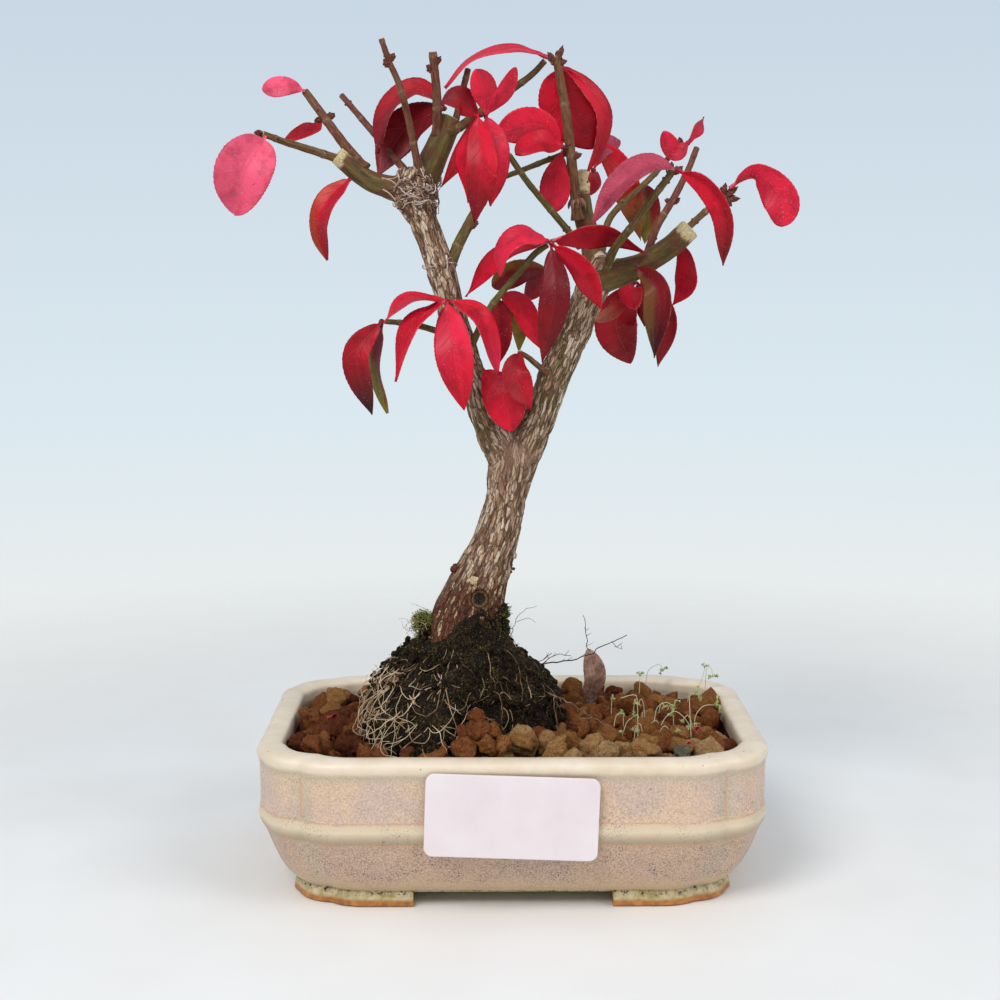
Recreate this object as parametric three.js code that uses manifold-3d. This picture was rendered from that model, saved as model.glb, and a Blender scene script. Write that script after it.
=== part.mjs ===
// A dwarf burning bush trained as a small bonsai, in a low glazed pot.
// Millimetres, +Z up. X runs along the pot, -Y is its front.
// The origin is on the ground under the middle of the pot.

import * as THREE from 'three';
import Module from 'manifold-3d';

const wasm = await Module();
wasm.setup();

// Sizes of the pot
const POT_LENGTH = 150;
const POT_WIDTH = 103;
const POT_HEIGHT = 46.4;
const POT_BOTTOM = 4.5;
const POT_FLOOR = 9.5;
const FRONT_STRAIGHT = 50;
const CREASE_X = 61;
const CREASE_Y = 47.2;
const CREASE_EASE_IN = [4, 0.3];
const CREASE_EASE_OUT = [3.2, 1.2];
const CORNER_X = 73.2;
const CORNER_Y = 36;
const SIDE_STRAIGHT = 30;
const DRAIN_RADIUS = 6;
const DRAIN_X = 30;
const FOOT_INSET = 10.4;
const FOOT_BASE_INSET = 9.8;
const FOOT_INNER_INSET = 19;
const FOOT_GAP_X = 29;
const FOOT_GAP_Y = 17;

// The wall of the pot, as pairs of height and distance in from the widest outline
const POT_OUTSIDE = [
  [POT_BOTTOM, 10.8], [5.2, 9.9], [6, 8.8], [8, 7.4], [11, 5.8], [15, 4.2], [18.5, 3], [21, 2.3],
  [22.6, 1.3], [24, 0.7], [25.8, 0.4], [27.2, 0.5], [28, 1.1], [36, 1.1], [41.5, 1], [42.5, 0.6],
  [43.4, 0.15], [44.6, 0], [45.6, 0.5], [POT_HEIGHT, 3.5],
];
const POT_INSIDE = [[45.8, 7.6], [40, 7.2], [14, 10], [10.2, 13.6], [POT_FLOOR, 15]];

// Gap between two pieces that touch
const GAP = 0.3;

// The plastic screens over the drain holes
const SCREEN_SIZE = 22;
const SCREEN_THICK = 1;
const SCREEN_HOLE = 5;
const SCREEN_PITCH = 6.5;

// The bed of clay granules
const SOIL_EDGE = 40.5;
const SOIL_RISE = 6;
const GRANULE_PITCH = 11;
const GRANULE_SMALL = 4;
const GRANULE_LARGE = 5.8;
const GRANULE_SEED = 11;
const BARE_RADIUS = 24;

// The ball of old compost that the roots hold, as pairs of height and radius
const BALL_X = -18;
const BALL_Y = -10;
const BALL_PROFILE = [
  [15, 20], [26, 24], [40, 26], [48, 26.5], [56, 25.5], [64, 21.5], [70, 17.5], [75, 13],
];
const BALL_SIDES = 18;

// The plain card on the front of the pot
const CARD_WIDTH = 49;
const CARD_HEIGHT = 24;
const CARD_THICK = 0.8;
const CARD_CORNER = 2.5;
const CARD_MIDDLE = [-0.6, 30.6];
const CARD_TILT = -2;

// Stems and twigs: sides of each ring, and length between two rings
const THICK_SIDES = 9;
const THICK_STEP = 8;
const TWIG_SIDES = 5;
const TWIG_STEP = 11;
const BUD_RADII = [0.6, 1, 0.25];

// Fine roots over the ball
const ROOT_RADIUS = 1;
const ROOT_SIDES = 4;
const ROOT_STEP = 8;
const ROOT_LOW = 47;
const ROOT_ROOM = 1.6;

// Leaves
const BLADE_THICK = 0.7;
const STALK_HALF = 0.5;
const STALK_SHARE = 0.05;
const LEAF_STEP = 5;
const LEAF_STEPS_LEAST = 4;
const LEAF_STEPS_MOST = 6;
const LEAF_WAVE = 0.25;
const HUB_RADIUS = 1.3;
const FRONT = new THREE.Vector3(0, -1, 0.1).normalize();

const MATERIALS = {
  glaze: new THREE.MeshStandardMaterial({ color: 0xe3d2bb, roughness: 0.42, metalness: 0 }),
  screen: new THREE.MeshStandardMaterial({ color: 0x2b2c2b, roughness: 0.6, metalness: 0 }),
  granules: new THREE.MeshStandardMaterial({ color: 0x8f4f27, roughness: 0.95, metalness: 0 }),
  compost: new THREE.MeshStandardMaterial({ color: 0x2a231c, roughness: 0.95, metalness: 0 }),
  bark: new THREE.MeshStandardMaterial({ color: 0x7a5f4c, roughness: 0.85, metalness: 0 }),
  card: new THREE.MeshStandardMaterial({ color: 0xf1e6ea, roughness: 0.3, metalness: 0 }),
  dry: new THREE.MeshStandardMaterial({ color: 0x8a5a44, roughness: 0.8, metalness: 0 }),
  crimson: new THREE.MeshStandardMaterial({ color: 0xb8162a, roughness: 0.5, metalness: 0 }),
  maroon: new THREE.MeshStandardMaterial({ color: 0x6d1620, roughness: 0.5, metalness: 0 }),
  pink: new THREE.MeshStandardMaterial({ color: 0xd8485f, roughness: 0.5, metalness: 0 }),
  olive: new THREE.MeshStandardMaterial({ color: 0x8c4a2c, roughness: 0.55, metalness: 0 }),
};

const object = new THREE.Group();

// Repeatable random numbers between 0 and 1
function seededRandom(seed) {
  let state = seed;
  return () => {
    state = (state * 16807) % 2147483647;
    return state / 2147483647;
  };
}

function vector(point) {
  return new THREE.Vector3(...point);
}

// A solid from a list of Vector3 corners and a list of triangles
function solidFrom(corners, triangles) {
  const vertProperties = new Float32Array(corners.flatMap((corner) => [corner.x, corner.y, corner.z]));
  const triVerts = new Uint32Array(triangles.flat());
  return new wasm.Manifold(new wasm.Mesh({ numProp: 3, vertProperties, triVerts }));
}

// The same from a three.js geometry, whose corners are merged where they meet
function solidFromGeometry(geometry) {
  const flat = geometry.getIndex() ? geometry.toNonIndexed() : geometry;
  const places = flat.getAttribute('position');
  const known = new Map();
  const corners = [];
  const triangles = [];
  for (let i = 0; i < places.count; i += 3) {
    const triangle = [];
    for (let j = i; j < i + 3; j += 1) {
      const corner = new THREE.Vector3().fromBufferAttribute(places, j);
      const key = corner.toArray().map((value) => Math.round(value * 1e4)).join();
      if (!known.has(key)) {
        known.set(key, corners.length);
        corners.push(corner);
      }
      triangle.push(known.get(key));
    }
    if (new Set(triangle).size === 3) {
      triangles.push(triangle);
    }
  }
  return solidFrom(corners, triangles);
}

// Rings of corners joined into one closed solid, with a fan over each end.
// Each ring runs anticlockwise when it is seen from the end that the rings lead to.
function loft(rings) {
  const sides = rings[0].length;
  const corners = rings.flat();
  const triangles = [];
  for (let ring = 0; ring < rings.length - 1; ring += 1) {
    for (let side = 0; side < sides; side += 1) {
      const a = ring * sides + side;
      const b = ring * sides + (side + 1) % sides;
      triangles.push([a, b, b + sides], [a, b + sides, a + sides]);
    }
  }
  for (const [start, flip] of [[0, true], [(rings.length - 1) * sides, false]]) {
    const middle = new THREE.Vector3();
    for (let side = 0; side < sides; side += 1) {
      middle.addScaledVector(corners[start + side], 1 / sides);
    }
    const hub = corners.push(middle) - 1;
    for (let side = 0; side < sides; side += 1) {
      const a = start + side;
      const b = start + (side + 1) % sides;
      triangles.push(flip ? [b, a, hub] : [a, b, hub]);
    }
  }
  return solidFrom(corners, triangles);
}

function joinAll(solids) {
  return wasm.Manifold.union(solids);
}

// A solid becomes a named piece of the object
function place(name, solid, material) {
  const { vertProperties, triVerts } = solid.getMesh();
  const geometry = new THREE.BufferGeometry();
  geometry.setAttribute('position', new THREE.BufferAttribute(vertProperties, 3));
  geometry.setIndex(new THREE.BufferAttribute(triVerts, 1));
  geometry.computeVertexNormals();
  const mesh = new THREE.Mesh(geometry, material);
  mesh.name = name;
  object.add(mesh);
}

// The largest body of a solid, for cuts that leave a loose scrap behind
function mainBody(solid) {
  const bodies = solid.decompose();
  return bodies.reduce((best, body) => (body.volume() > best.volume() ? body : best));
}

// Plan of the pot: straight sides, and at each corner a cut-off facet that starts at a shallow crease
function potPlan() {
  const quarter = new THREE.Path();
  quarter.moveTo(0, -POT_WIDTH / 2);
  quarter.lineTo(FRONT_STRAIGHT, -POT_WIDTH / 2);
  const [inX, inY] = CREASE_EASE_IN;
  const [outX, outY] = CREASE_EASE_OUT;
  quarter.quadraticCurveTo(CREASE_X - inX, -POT_WIDTH / 2 + inY, CREASE_X, -CREASE_Y);
  quarter.quadraticCurveTo(CORNER_X - outX, -CREASE_Y + outY, CORNER_X, -CORNER_Y);
  quarter.lineTo(POT_LENGTH / 2, -SIDE_STRAIGHT);
  quarter.lineTo(POT_LENGTH / 2, 0);
  return allRound(quarter.getPoints(2));
}

// A quarter of an outline mirrored into the other three quarters
function allRound(right) {
  const back = right.slice(0, -1).reverse().map((point) => new THREE.Vector2(point.x, -point.y));
  const half = [...right, ...back];
  const left = half.slice(1, -1).reverse().map((point) => new THREE.Vector2(-point.x, point.y));
  return [...half, ...left];
}

// The same plan with straight lines from corner to corner, for what lies inside the pot
function soilPlan() {
  return allRound([
    new THREE.Vector2(0, -POT_WIDTH / 2), new THREE.Vector2(FRONT_STRAIGHT, -POT_WIDTH / 2),
    new THREE.Vector2(CREASE_X, -CREASE_Y), new THREE.Vector2(CORNER_X, -CORNER_Y),
    new THREE.Vector2(POT_LENGTH / 2, -SIDE_STRAIGHT), new THREE.Vector2(POT_LENGTH / 2, 0),
  ]);
}

const PLAN = potPlan();
const SOIL_PLAN = soilPlan();

// A plan drawn in by a distance, at a height
function planRing(height, inset, plan = PLAN) {
  const alongX = 1 - inset / (POT_LENGTH / 2);
  const alongY = 1 - inset / (POT_WIDTH / 2);
  return plan.map((point) => new THREE.Vector3(point.x * alongX, point.y * alongY, height));
}

function box(low, high) {
  const size = high.map((value, axis) => value - low[axis]);
  const middle = high.map((value, axis) => (value + low[axis]) / 2);
  return solidFromGeometry(new THREE.BoxGeometry(...size)).translate(middle);
}

function uprightCylinder(radius, low, high, x, y) {
  const geometry = new THREE.CylinderGeometry(radius, radius, high - low, 20).rotateX(Math.PI / 2);
  return solidFromGeometry(geometry).translate([x, y, (low + high) / 2]);
}

// Four corner feet, cut out of one ring under the pot
function potFeet() {
  const below = -5;
  const outer = loft([planRing(0, FOOT_BASE_INSET), planRing(POT_BOTTOM + 1, FOOT_INSET)]);
  const inner = loft([planRing(below, FOOT_INNER_INSET), planRing(POT_BOTTOM, FOOT_INNER_INSET)]);
  const gapAlong = box([-FOOT_GAP_X, -POT_WIDTH, below], [FOOT_GAP_X, POT_WIDTH, POT_BOTTOM]);
  const gapAcross = box([-POT_LENGTH, -FOOT_GAP_Y, below], [POT_LENGTH, FOOT_GAP_Y, POT_BOTTOM]);
  return outer.subtract(joinAll([inner, gapAlong, gapAcross]));
}

function buildPot() {
  const wall = [...POT_OUTSIDE, ...POT_INSIDE].map(([height, inset]) => planRing(height, inset));
  const drains = [-DRAIN_X, DRAIN_X].map((x) => uprightCylinder(DRAIN_RADIUS, -1, POT_FLOOR + 5, x, 0));
  const pot = joinAll([loft(wall), potFeet()]).subtract(joinAll(drains));
  place('pot', pot, MATERIALS.glaze);
}

// A square of coarse plastic mesh that keeps the granules out of a drain hole
function buildScreen(name, x) {
  const half = SCREEN_SIZE / 2;
  const low = POT_FLOOR + GAP;
  const sheet = box([x - half, -half, low], [x + half, half, low + SCREEN_THICK]);
  const holes = [];
  for (const column of [-1, 0, 1]) {
    for (const row of [-1, 0, 1]) {
      const left = x + column * SCREEN_PITCH - SCREEN_HOLE / 2;
      const front = row * SCREEN_PITCH - SCREEN_HOLE / 2;
      const far = [left + SCREEN_HOLE, front + SCREEN_HOLE, low + 2 * SCREEN_THICK];
      holes.push(box([left, front, low - SCREEN_THICK], far));
    }
  }
  place(name, sheet.subtract(joinAll(holes)), MATERIALS.screen);
}

// Room for a screen under the soil
function screenRoom(x) {
  const half = SCREEN_SIZE / 2 + GAP;
  return box([x - half, -half, 0], [x + half, half, POT_FLOOR + SCREEN_THICK + 2 * GAP]);
}

// How far the surface of the root ball stands from its middle, towards an angle, at a height
function ballRadius(angle, height) {
  let radius = BALL_PROFILE[BALL_PROFILE.length - 1][1];
  for (let step = 1; step < BALL_PROFILE.length; step += 1) {
    const [low, near] = BALL_PROFILE[step - 1];
    const [high, far] = BALL_PROFILE[step];
    if (height <= high) {
      radius = THREE.MathUtils.mapLinear(Math.max(height, low), low, high, near, far);
      break;
    }
  }
  const spread = THREE.MathUtils.smoothstep(75 - height, 5, 30);
  const frontLobe = Math.max(0, Math.cos(angle + 1.75)) ** 2 * 5.5 * spread;
  const lumps = Math.sin(3 * angle + 0.16 * height) * 0.9 + Math.sin(7 * angle - 0.11 * height) * 0.6;
  return radius + frontLobe + lumps;
}

function ballPoint(angle, height, proud) {
  const radius = ballRadius(angle, height) + proud;
  return new THREE.Vector3(BALL_X + radius * Math.cos(angle), BALL_Y + radius * Math.sin(angle), height);
}

function ballMass(proud) {
  const heights = BALL_PROFILE.map(([height]) => height);
  heights[0] -= proud;
  return loft(heights.map((height) => Array.from({ length: BALL_SIDES }, (_, side) =>
    ballPoint((2 * Math.PI * side) / BALL_SIDES, height, proud))));
}

// How much an old stem is out of round, towards an angle, at one of its rings
function barkSwell(angle, ring) {
  return 1 + 0.05 * Math.sin(3 * angle + 0.9 * ring) + 0.03 * Math.sin(5 * angle - ring);
}

// A round stem along a smooth curve through the points, with a radius at each point
function stem(points, radii, sides, step, proud = 0) {
  const curve = new THREE.CatmullRomCurve3(points.map(vector), false, 'catmullrom', 0.5);
  const count = Math.max(2, Math.round(curve.getLength() / step));
  const frames = curve.computeFrenetFrames(count, false);
  const rings = [];
  for (let i = 0; i <= count; i += 1) {
    const middle = curve.getPointAt(i / count);
    const along = curve.getUtoTmapping(i / count) * (radii.length - 1);
    const before = Math.min(Math.floor(along), radii.length - 2);
    const radius = THREE.MathUtils.lerp(radii[before], radii[before + 1], along - before) + proud;
    const lengthen = i === 0 ? -proud : i === count ? proud : 0;
    middle.addScaledVector(frames.tangents[i], lengthen);
    rings.push(Array.from({ length: sides }, (_, side) => {
      const angle = (2 * Math.PI * side) / sides;
      const out = radius * (sides < THICK_SIDES ? 1 : barkSwell(angle, i));
      return middle.clone()
        .addScaledVector(frames.normals[i], out * Math.cos(angle))
        .addScaledVector(frames.binormals[i], out * Math.sin(angle));
    }));
  }
  return loft(rings);
}

// A pointed winter bud
function bud(at, towards, proud) {
  const start = vector(at);
  const end = start.clone().add(vector(towards));
  const points = [0, 0.4, 1].map((share) => start.clone().lerp(end, share).toArray());
  return stem(points, BUD_RADII, ROOT_SIDES, 2, proud);
}

// The thick stems, with their points and radii, in order from the root up
const THICK_STEMS = [
  // trunk, from inside the root ball to the fork
  [[[-15, -8, 50], [-14, -8, 63], [-13, -8, 77], [-11, -9, 87], [-5, -9, 102], [-2, -8, 114],
    [0, -8, 127]],
  [13, 14, 11.8, 8.9, 6.6, 6, 7]],
  // left branch, up to its knuckle
  [[[0, -8, 124], [-7, -9, 137], [-10, -9, 145], [-17, -8, 168], [-21, -7, 183], [-26, -6, 197],
    [-29, -6, 205], [-29, -5, 212]],
  [6.2, 4.7, 4.2, 4, 3.9, 4.3, 6.4, 4.4]],
  // right branch, up to where it parts
  [[[0, -8, 123], [7, -6, 137], [11, -5, 147], [19, -1, 165], [24, 2, 177], [28, 3, 184]],
    [6.4, 5.1, 4.9, 4.9, 5, 4.9]],
  // cut stub to the left of the knuckle
  [[[-27, -6, 205], [-37, -7, 207], [-44, -8, 210], [-51, -10, 216]], [4.6, 3.3, 2.9, 2.6]],
  // cut stub above the knuckle
  [[[-28, -5, 205], [-22, -3, 218], [-18, -1, 227]], [4.6, 3.8, 3.4]],
  // cut stub that stands on the right branch
  [[[26, 2, 180], [24, 8, 192], [22, 9, 199], [21, 9, 206]], [4.4, 3.3, 3, 2.9]],
  // cut stub to the right
  [[[26, 2, 180], [38, 1, 184], [47, -1, 189.5], [53, -3, 195]], [4.8, 3.6, 3.2, 3.3]],
];

// The twigs, each a list of points with the radius at its two ends
const TWIGS = [
  // from the left stub
  [[[-48, -9, 214], [-58, -13, 217], [-65, -16, 219], [-71, -20, 221]], 1.3, 0.9],
  [[[-43, -8, 212], [-49, -6, 219], [-55, -3, 227], [-61, 0, 235]], 1.6, 1.1],
  // from the knuckle
  [[[-30, -3, 210], [-40, 10, 222], [-52, 20, 236]], 1.2, 0.9],
  [[[-27, -7, 209], [-29, -12, 221], [-32, -17, 234], [-35, -20, 241], [-37, -22, 247]], 1.2, 0.8],
  [[[-22, -4, 222], [-22, -7, 233], [-23, -10, 245]], 1.5, 1.2],
  [[[-18, -4, 223], [-13, -9, 225], [-10, -12, 227]], 1.3, 1],
  [[[-17, 0, 225], [-15, 3, 234], [-13, 5, 242]], 1.1, 0.9],
  [[[-17, 1, 224], [-9, 6, 230], [-2, 9, 235], [6, 10, 241], [10, 9, 245]], 1.2, 0.9],
  // from the upright stub
  [[[22, 9, 202], [22, 11, 208], [22, 11, 213]], 1.8, 1.7],
  [[[20, 6, 198], [18, 3, 214], [16, 1, 229], [13, 0, 245]], 1.7, 1.25],
  [[[21, 6, 190], [13, 1, 199], [5, -4, 208], [-1, -8, 216]], 1.1, 0.9],
  [[[18, 3, 218], [9, 8, 215], [-2, 13, 211]], 0.9, 0.8],
  // from the fork of the right branch
  [[[27, 5, 184], [29, 10, 196], [33, 13, 202], [43, 18, 211], [53, 24, 222]], 1.1, 0.85],
  [[[28, 0, 182], [30, -9, 189], [36, -14, 197], [40, -17, 203], [46, -19, 211]], 1.4, 1],
  // from the right stub
  [[[40, 1, 186], [44, 5, 196], [49, 9, 204], [54, 14, 213], [57, 17, 220]], 1.2, 0.95],
  [[[50, -1, 193], [58, 4, 200], [65, 9, 205]], 1.1, 0.95],
  [[[35, 2, 182], [38, 14, 182], [39, 23, 180]], 1.1, 0.9],
  // from the left branch
  [[[-14, -9, 156], [-7, -12, 171], [1, -14, 181], [6, -16, 187], [10, -17, 190]], 1.1, 0.9],
  [[[-19, -8, 164], [-29, -13, 167], [-37, -16, 168]], 1, 0.8],
  [[[-18, -8, 171], [-19, -17, 174]], 1.1, 0.9],
  [[[-19, -7, 182], [-16, -5, 190], [-11.5, -4, 198.5], [-8.3, -3, 204]], 1.75, 1.5],
  // from the right branch
  [[[12, -7, 151], [5, -11, 157], [2, -14, 159]], 1, 0.7],
  [[[19, 2, 167], [16, 9, 176], [12, 13, 182]], 1, 0.8],
];

// Winter buds, as a foot point and the way and length they grow
const BUDS = [
  [[-35, -20, 240], [-1.6, 0, 1.8]], [[-35, -20, 241], [1.6, 0, 2.4]],
  [[-23, -9, 240], [-2, 0, 1.4]], [[-23, -9, 241], [2.4, 0, 3]],
  [[13, 0, 243], [-2.6, 0, 3.4]], [[13, 0, 243], [2, 0, 5.4]], [[13, 0, 243], [3.4, 1, 1]],
  [[17, 2, 218], [-2.2, 0, 1.2]], [[18, 2, 216], [3, 0, 1.2]],
  [[45, -18, 210], [0.5, 0, 3.6]], [[46, -19, 210], [2.6, 0, 2.2]],
  [[49, 9, 203], [-2.6, 0, 1]], [[49, 10, 203], [2.4, 0, 1.6]],
  [[64, 9, 205], [1, 0, 4.2]], [[65, 9, 205], [3.8, 0, 3]],
  [[65, 9, 204], [4.6, 0, 0.4]], [[65, 9, 204], [2, 0, -2]],
  [[53, 24, 221], [-0.6, 0, 3]],
  [[-71, -20, 221], [-2.6, 0, 0.4]],
  [[-56, -3, 227], [-2.2, 0, -1.6]], [[-54, -3, 227], [2, 0, 1.4]],
  [[-12.6, -4.4, 195], [2.6, -1, 2.2]],
];

// Everything woody, as one body. A proud value gives a fatter copy, used to cut room for it.
function woodSolid(proud) {
  const thick = THICK_STEMS.map(([points, radii]) =>
    stem(points, radii, THICK_SIDES, THICK_STEP, proud));
  const thin = TWIGS.map(([points, first, last]) => {
    const radii = points.map((_, i) => THREE.MathUtils.lerp(first, last, i / (points.length - 1)));
    return stem(points, radii, TWIG_SIDES, TWIG_STEP, proud);
  });
  const buds = BUDS.map(([at, towards]) => bud(at, towards, proud));
  return joinAll([...thick, ...thin, ...buds]);
}

const wood = woodSolid(0);
const woodRoom = woodSolid(GAP);

// Roots that run down over the front and left of the ball, by start and end angle in degrees, and height
const ROOT_STARTS = [160, 185, 205, 220, 234, 248, 264, 290];

function surfaceRoots() {
  return ROOT_STARTS.map((degrees, i) => {
    const start = THREE.MathUtils.degToRad(degrees);
    const drift = 0.3 * Math.sin(i * 2.4);
    const top = 66 - 4 * Math.sin(i * 1.7);
    const points = [0, 0.3, 0.6, 0.85, 1].map((share) => {
      const angle = start + drift * share + 0.06 * Math.sin(9 * share + i);
      const height = THREE.MathUtils.lerp(top, ROOT_LOW, share);
      return ballPoint(angle, height, share < 0.1 ? -0.9 : 0.2).toArray();
    });
    return stem(points, [0.8, 1, 1, 0.9, 0.8].map((part) => part * ROOT_RADIUS), ROOT_SIDES, ROOT_STEP);
  });
}

// Roots and a dead twig that reach out of the ball over the soil on the right
const LOOSE_ROOTS = [
  [[[0, -16, 60], [13, -20, 57], [21, -27, 54], [28, -33, 51]], 1.1, 0.7],
  [[[3, -6, 62], [12, -4, 63], [19, -2, 64], [24, 2, 65], [36, 6, 69]], 1.1, 0.7],
  [[[24, 2, 65], [22, 1, 72], [22, 0, 78]], 0.8, 0.6],
  [[[0, -13, 63], [2, -10, 71], [7, -6, 80]], 0.9, 0.6],
];

function looseRoots() {
  return LOOSE_ROOTS.map(([points, first, last]) => {
    const radii = points.map((_, i) => THREE.MathUtils.lerp(first, last, i / (points.length - 1)));
    return stem(points, radii, TWIG_SIDES, ROOT_STEP);
  });
}

function buildRootBall() {
  const ball = joinAll([ballMass(0), ...surfaceRoots(), ...looseRoots()]).subtract(woodRoom);
  place('root_ball', mainBody(ball), MATERIALS.compost);
}

// Height of the bed: low along the wall of the pot and higher round the root ball
function soilHeight(x, y) {
  const fromBall = Math.hypot((x - BALL_X) / 55, (y - BALL_Y) / 38);
  return SOIL_EDGE + SOIL_RISE * Math.max(0, 1 - fromBall);
}

function soilBed() {
  const below = POT_INSIDE.slice(1).reverse();
  const rings = below.map(([height, inset]) => planRing(height + GAP, inset + 2 * GAP, SOIL_PLAN));
  for (const share of [1, 0.75, 0.45, 0.15]) {
    rings.push(planRing(0, POT_INSIDE[1][1] + 2 * GAP, SOIL_PLAN).map((corner) => {
      const x = corner.x * share;
      const y = corner.y * share;
      return new THREE.Vector3(x, y, soilHeight(x, y));
    }));
  }
  return loft(rings);
}

// What the heap of granules keeps inside, as pairs of height and distance in from the widest outline
const HEAP_REACH = [[POT_FLOOR, 15.2], [14, 10.6], [40, 7.6], [60, 8.6]];

// One angular lump of fired clay: a block with each corner pushed in or out
function granule(random, x, y) {
  const radius = THREE.MathUtils.lerp(GRANULE_SMALL, GRANULE_LARGE, random() ** 1.5);
  const pushes = Array.from({ length: 8 }, () => 0.78 + 0.34 * random());
  const shape = new THREE.BoxGeometry(1.2 * radius, 1.2 * radius, 1.2 * radius);
  const places = shape.getAttribute('position');
  for (let i = 0; i < places.count; i += 1) {
    const corner = new THREE.Vector3().fromBufferAttribute(places, i);
    const push = pushes[(corner.x > 0 ? 1 : 0) + (corner.y > 0 ? 2 : 0) + (corner.z > 0 ? 4 : 0)];
    places.setXYZ(i, ...corner.multiplyScalar(push).toArray());
  }
  shape.scale(1 + 0.35 * random(), 1, 0.85);
  shape.rotateX(random() * Math.PI);
  shape.rotateY(random() * Math.PI);
  shape.rotateZ(random() * Math.PI);
  return solidFromGeometry(shape).translate([x, y, soilHeight(x, y) + 0.25 * radius]);
}

function granules() {
  const random = seededRandom(GRANULE_SEED);
  const lumps = [];
  const rows = Math.floor(POT_WIDTH / GRANULE_PITCH);
  const columns = Math.floor(POT_LENGTH / GRANULE_PITCH);
  for (let row = 0; row <= rows; row += 1) {
    for (let column = 0; column <= columns; column += 1) {
      const shift = row % 2 ? 0.5 : 0;
      const x = (column + shift - columns / 2 + 0.5 * (random() - 0.5)) * GRANULE_PITCH;
      const y = (row - rows / 2 + 0.5 * (random() - 0.5)) * GRANULE_PITCH;
      const fromBall = Math.hypot(x - BALL_X, y - BALL_Y);
      const inPot = Math.abs(x) < POT_LENGTH / 2 - 9 && Math.abs(y) < POT_WIDTH / 2 - 9;
      if (inPot && fromBall > BARE_RADIUS) {
        lumps.push(granule(random, x, y));
      }
    }
  }
  return lumps;
}

function soilSolid() {
  const reach = loft(HEAP_REACH.map(([height, inset]) => planRing(height, inset, SOIL_PLAN)));
  const heap = joinAll([soilBed(), ...granules()]).intersect(reach);
  const rooms = [ballMass(ROOT_ROOM), screenRoom(-DRAIN_X), screenRoom(DRAIN_X)];
  return mainBody(heap.subtract(joinAll(rooms)));
}

const soil = soilSolid();

// The card leans against the rim and the belt of the pot
function buildCard() {
  const across = CARD_WIDTH / 2 - CARD_CORNER;
  const up = CARD_HEIGHT / 2 - CARD_CORNER;
  const outline = new THREE.Shape();
  outline.absarc(across, up, CARD_CORNER, 0, Math.PI / 2, false);
  outline.absarc(-across, up, CARD_CORNER, Math.PI / 2, Math.PI, false);
  outline.absarc(-across, -up, CARD_CORNER, Math.PI, 1.5 * Math.PI, false);
  outline.absarc(across, -up, CARD_CORNER, 1.5 * Math.PI, 2 * Math.PI, false);
  const settings = { depth: CARD_THICK, bevelEnabled: false, curveSegments: 4 };
  const geometry = new THREE.ExtrudeGeometry(outline, settings);
  geometry.rotateZ(THREE.MathUtils.degToRad(CARD_TILT));
  geometry.rotateX(Math.PI / 2);
  const [x, z] = CARD_MIDDLE;
  const card = solidFromGeometry(geometry).translate([x, -POT_WIDTH / 2 - GAP, z]);
  place('label_card', card, MATERIALS.card);
}

// Half the width of a leaf along its length, as a share of the widest.
// A belly above 1 puts the widest place nearer the tip.
function leafOutline(share, belly) {
  const blade = Math.max(0, (share - STALK_SHARE) / (1 - STALK_SHARE));
  const round = Math.max(0, Math.sin(Math.PI * blade ** belly));
  return round ** (0.5 + 0.4 * blade) * (1 - 0.3 * blade ** 6);
}

// A blade along a curve through the points.
// The turn, in degrees, rolls the blade about its midrib, away from facing the front.
// The fold lifts both halves of the blade towards its face.
function leaf({ path, width, turn = 0, turnTip = turn, fold = 15, belly = 0.95 }) {
  const curve = new THREE.CatmullRomCurve3(path.map(vector), false, 'catmullrom', 0.5);
  const lift = THREE.MathUtils.degToRad(fold);
  const wanted = Math.round(curve.getLength() / LEAF_STEP);
  const steps = THREE.MathUtils.clamp(wanted, LEAF_STEPS_LEAST, LEAF_STEPS_MOST);
  const rings = [];
  for (let i = 0; i <= steps; i += 1) {
    const share = i / steps;
    const middle = curve.getPointAt(share);
    const along = curve.getTangentAt(share);
    const roll = THREE.MathUtils.degToRad(THREE.MathUtils.lerp(turn, turnTip, share));
    const face = FRONT.clone().addScaledVector(along, -FRONT.dot(along)).normalize();
    face.applyAxisAngle(along, roll);
    const across = new THREE.Vector3().crossVectors(along, face);
    const half = Math.max(STALK_HALF, (width / 2) * leafOutline(share, belly));
    const wave = LEAF_WAVE * Math.sin(i * 2.1);
    const thick = BLADE_THICK / 2;
    const edge = (side) => {
      const out = face.clone().multiplyScalar(Math.sin(lift));
      out.addScaledVector(across, side * Math.cos(lift));
      const up = face.clone().multiplyScalar(Math.cos(lift));
      up.addScaledVector(across, -side * Math.sin(lift));
      return { at: middle.clone().addScaledVector(out, half).addScaledVector(up, side * wave), up };
    };
    const left = edge(1);
    const right = edge(-1);
    const rib = thick / Math.cos(lift);
    rings.push([
      left.at.clone().addScaledVector(left.up, thick),
      middle.clone().addScaledVector(face, rib),
      right.at.clone().addScaledVector(right.up, thick),
      right.at.clone().addScaledVector(right.up, -thick),
      middle.clone().addScaledVector(face, -rib),
      left.at.clone().addScaledVector(left.up, -thick),
    ]);
  }
  return leafLoft(rings);
}

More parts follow.
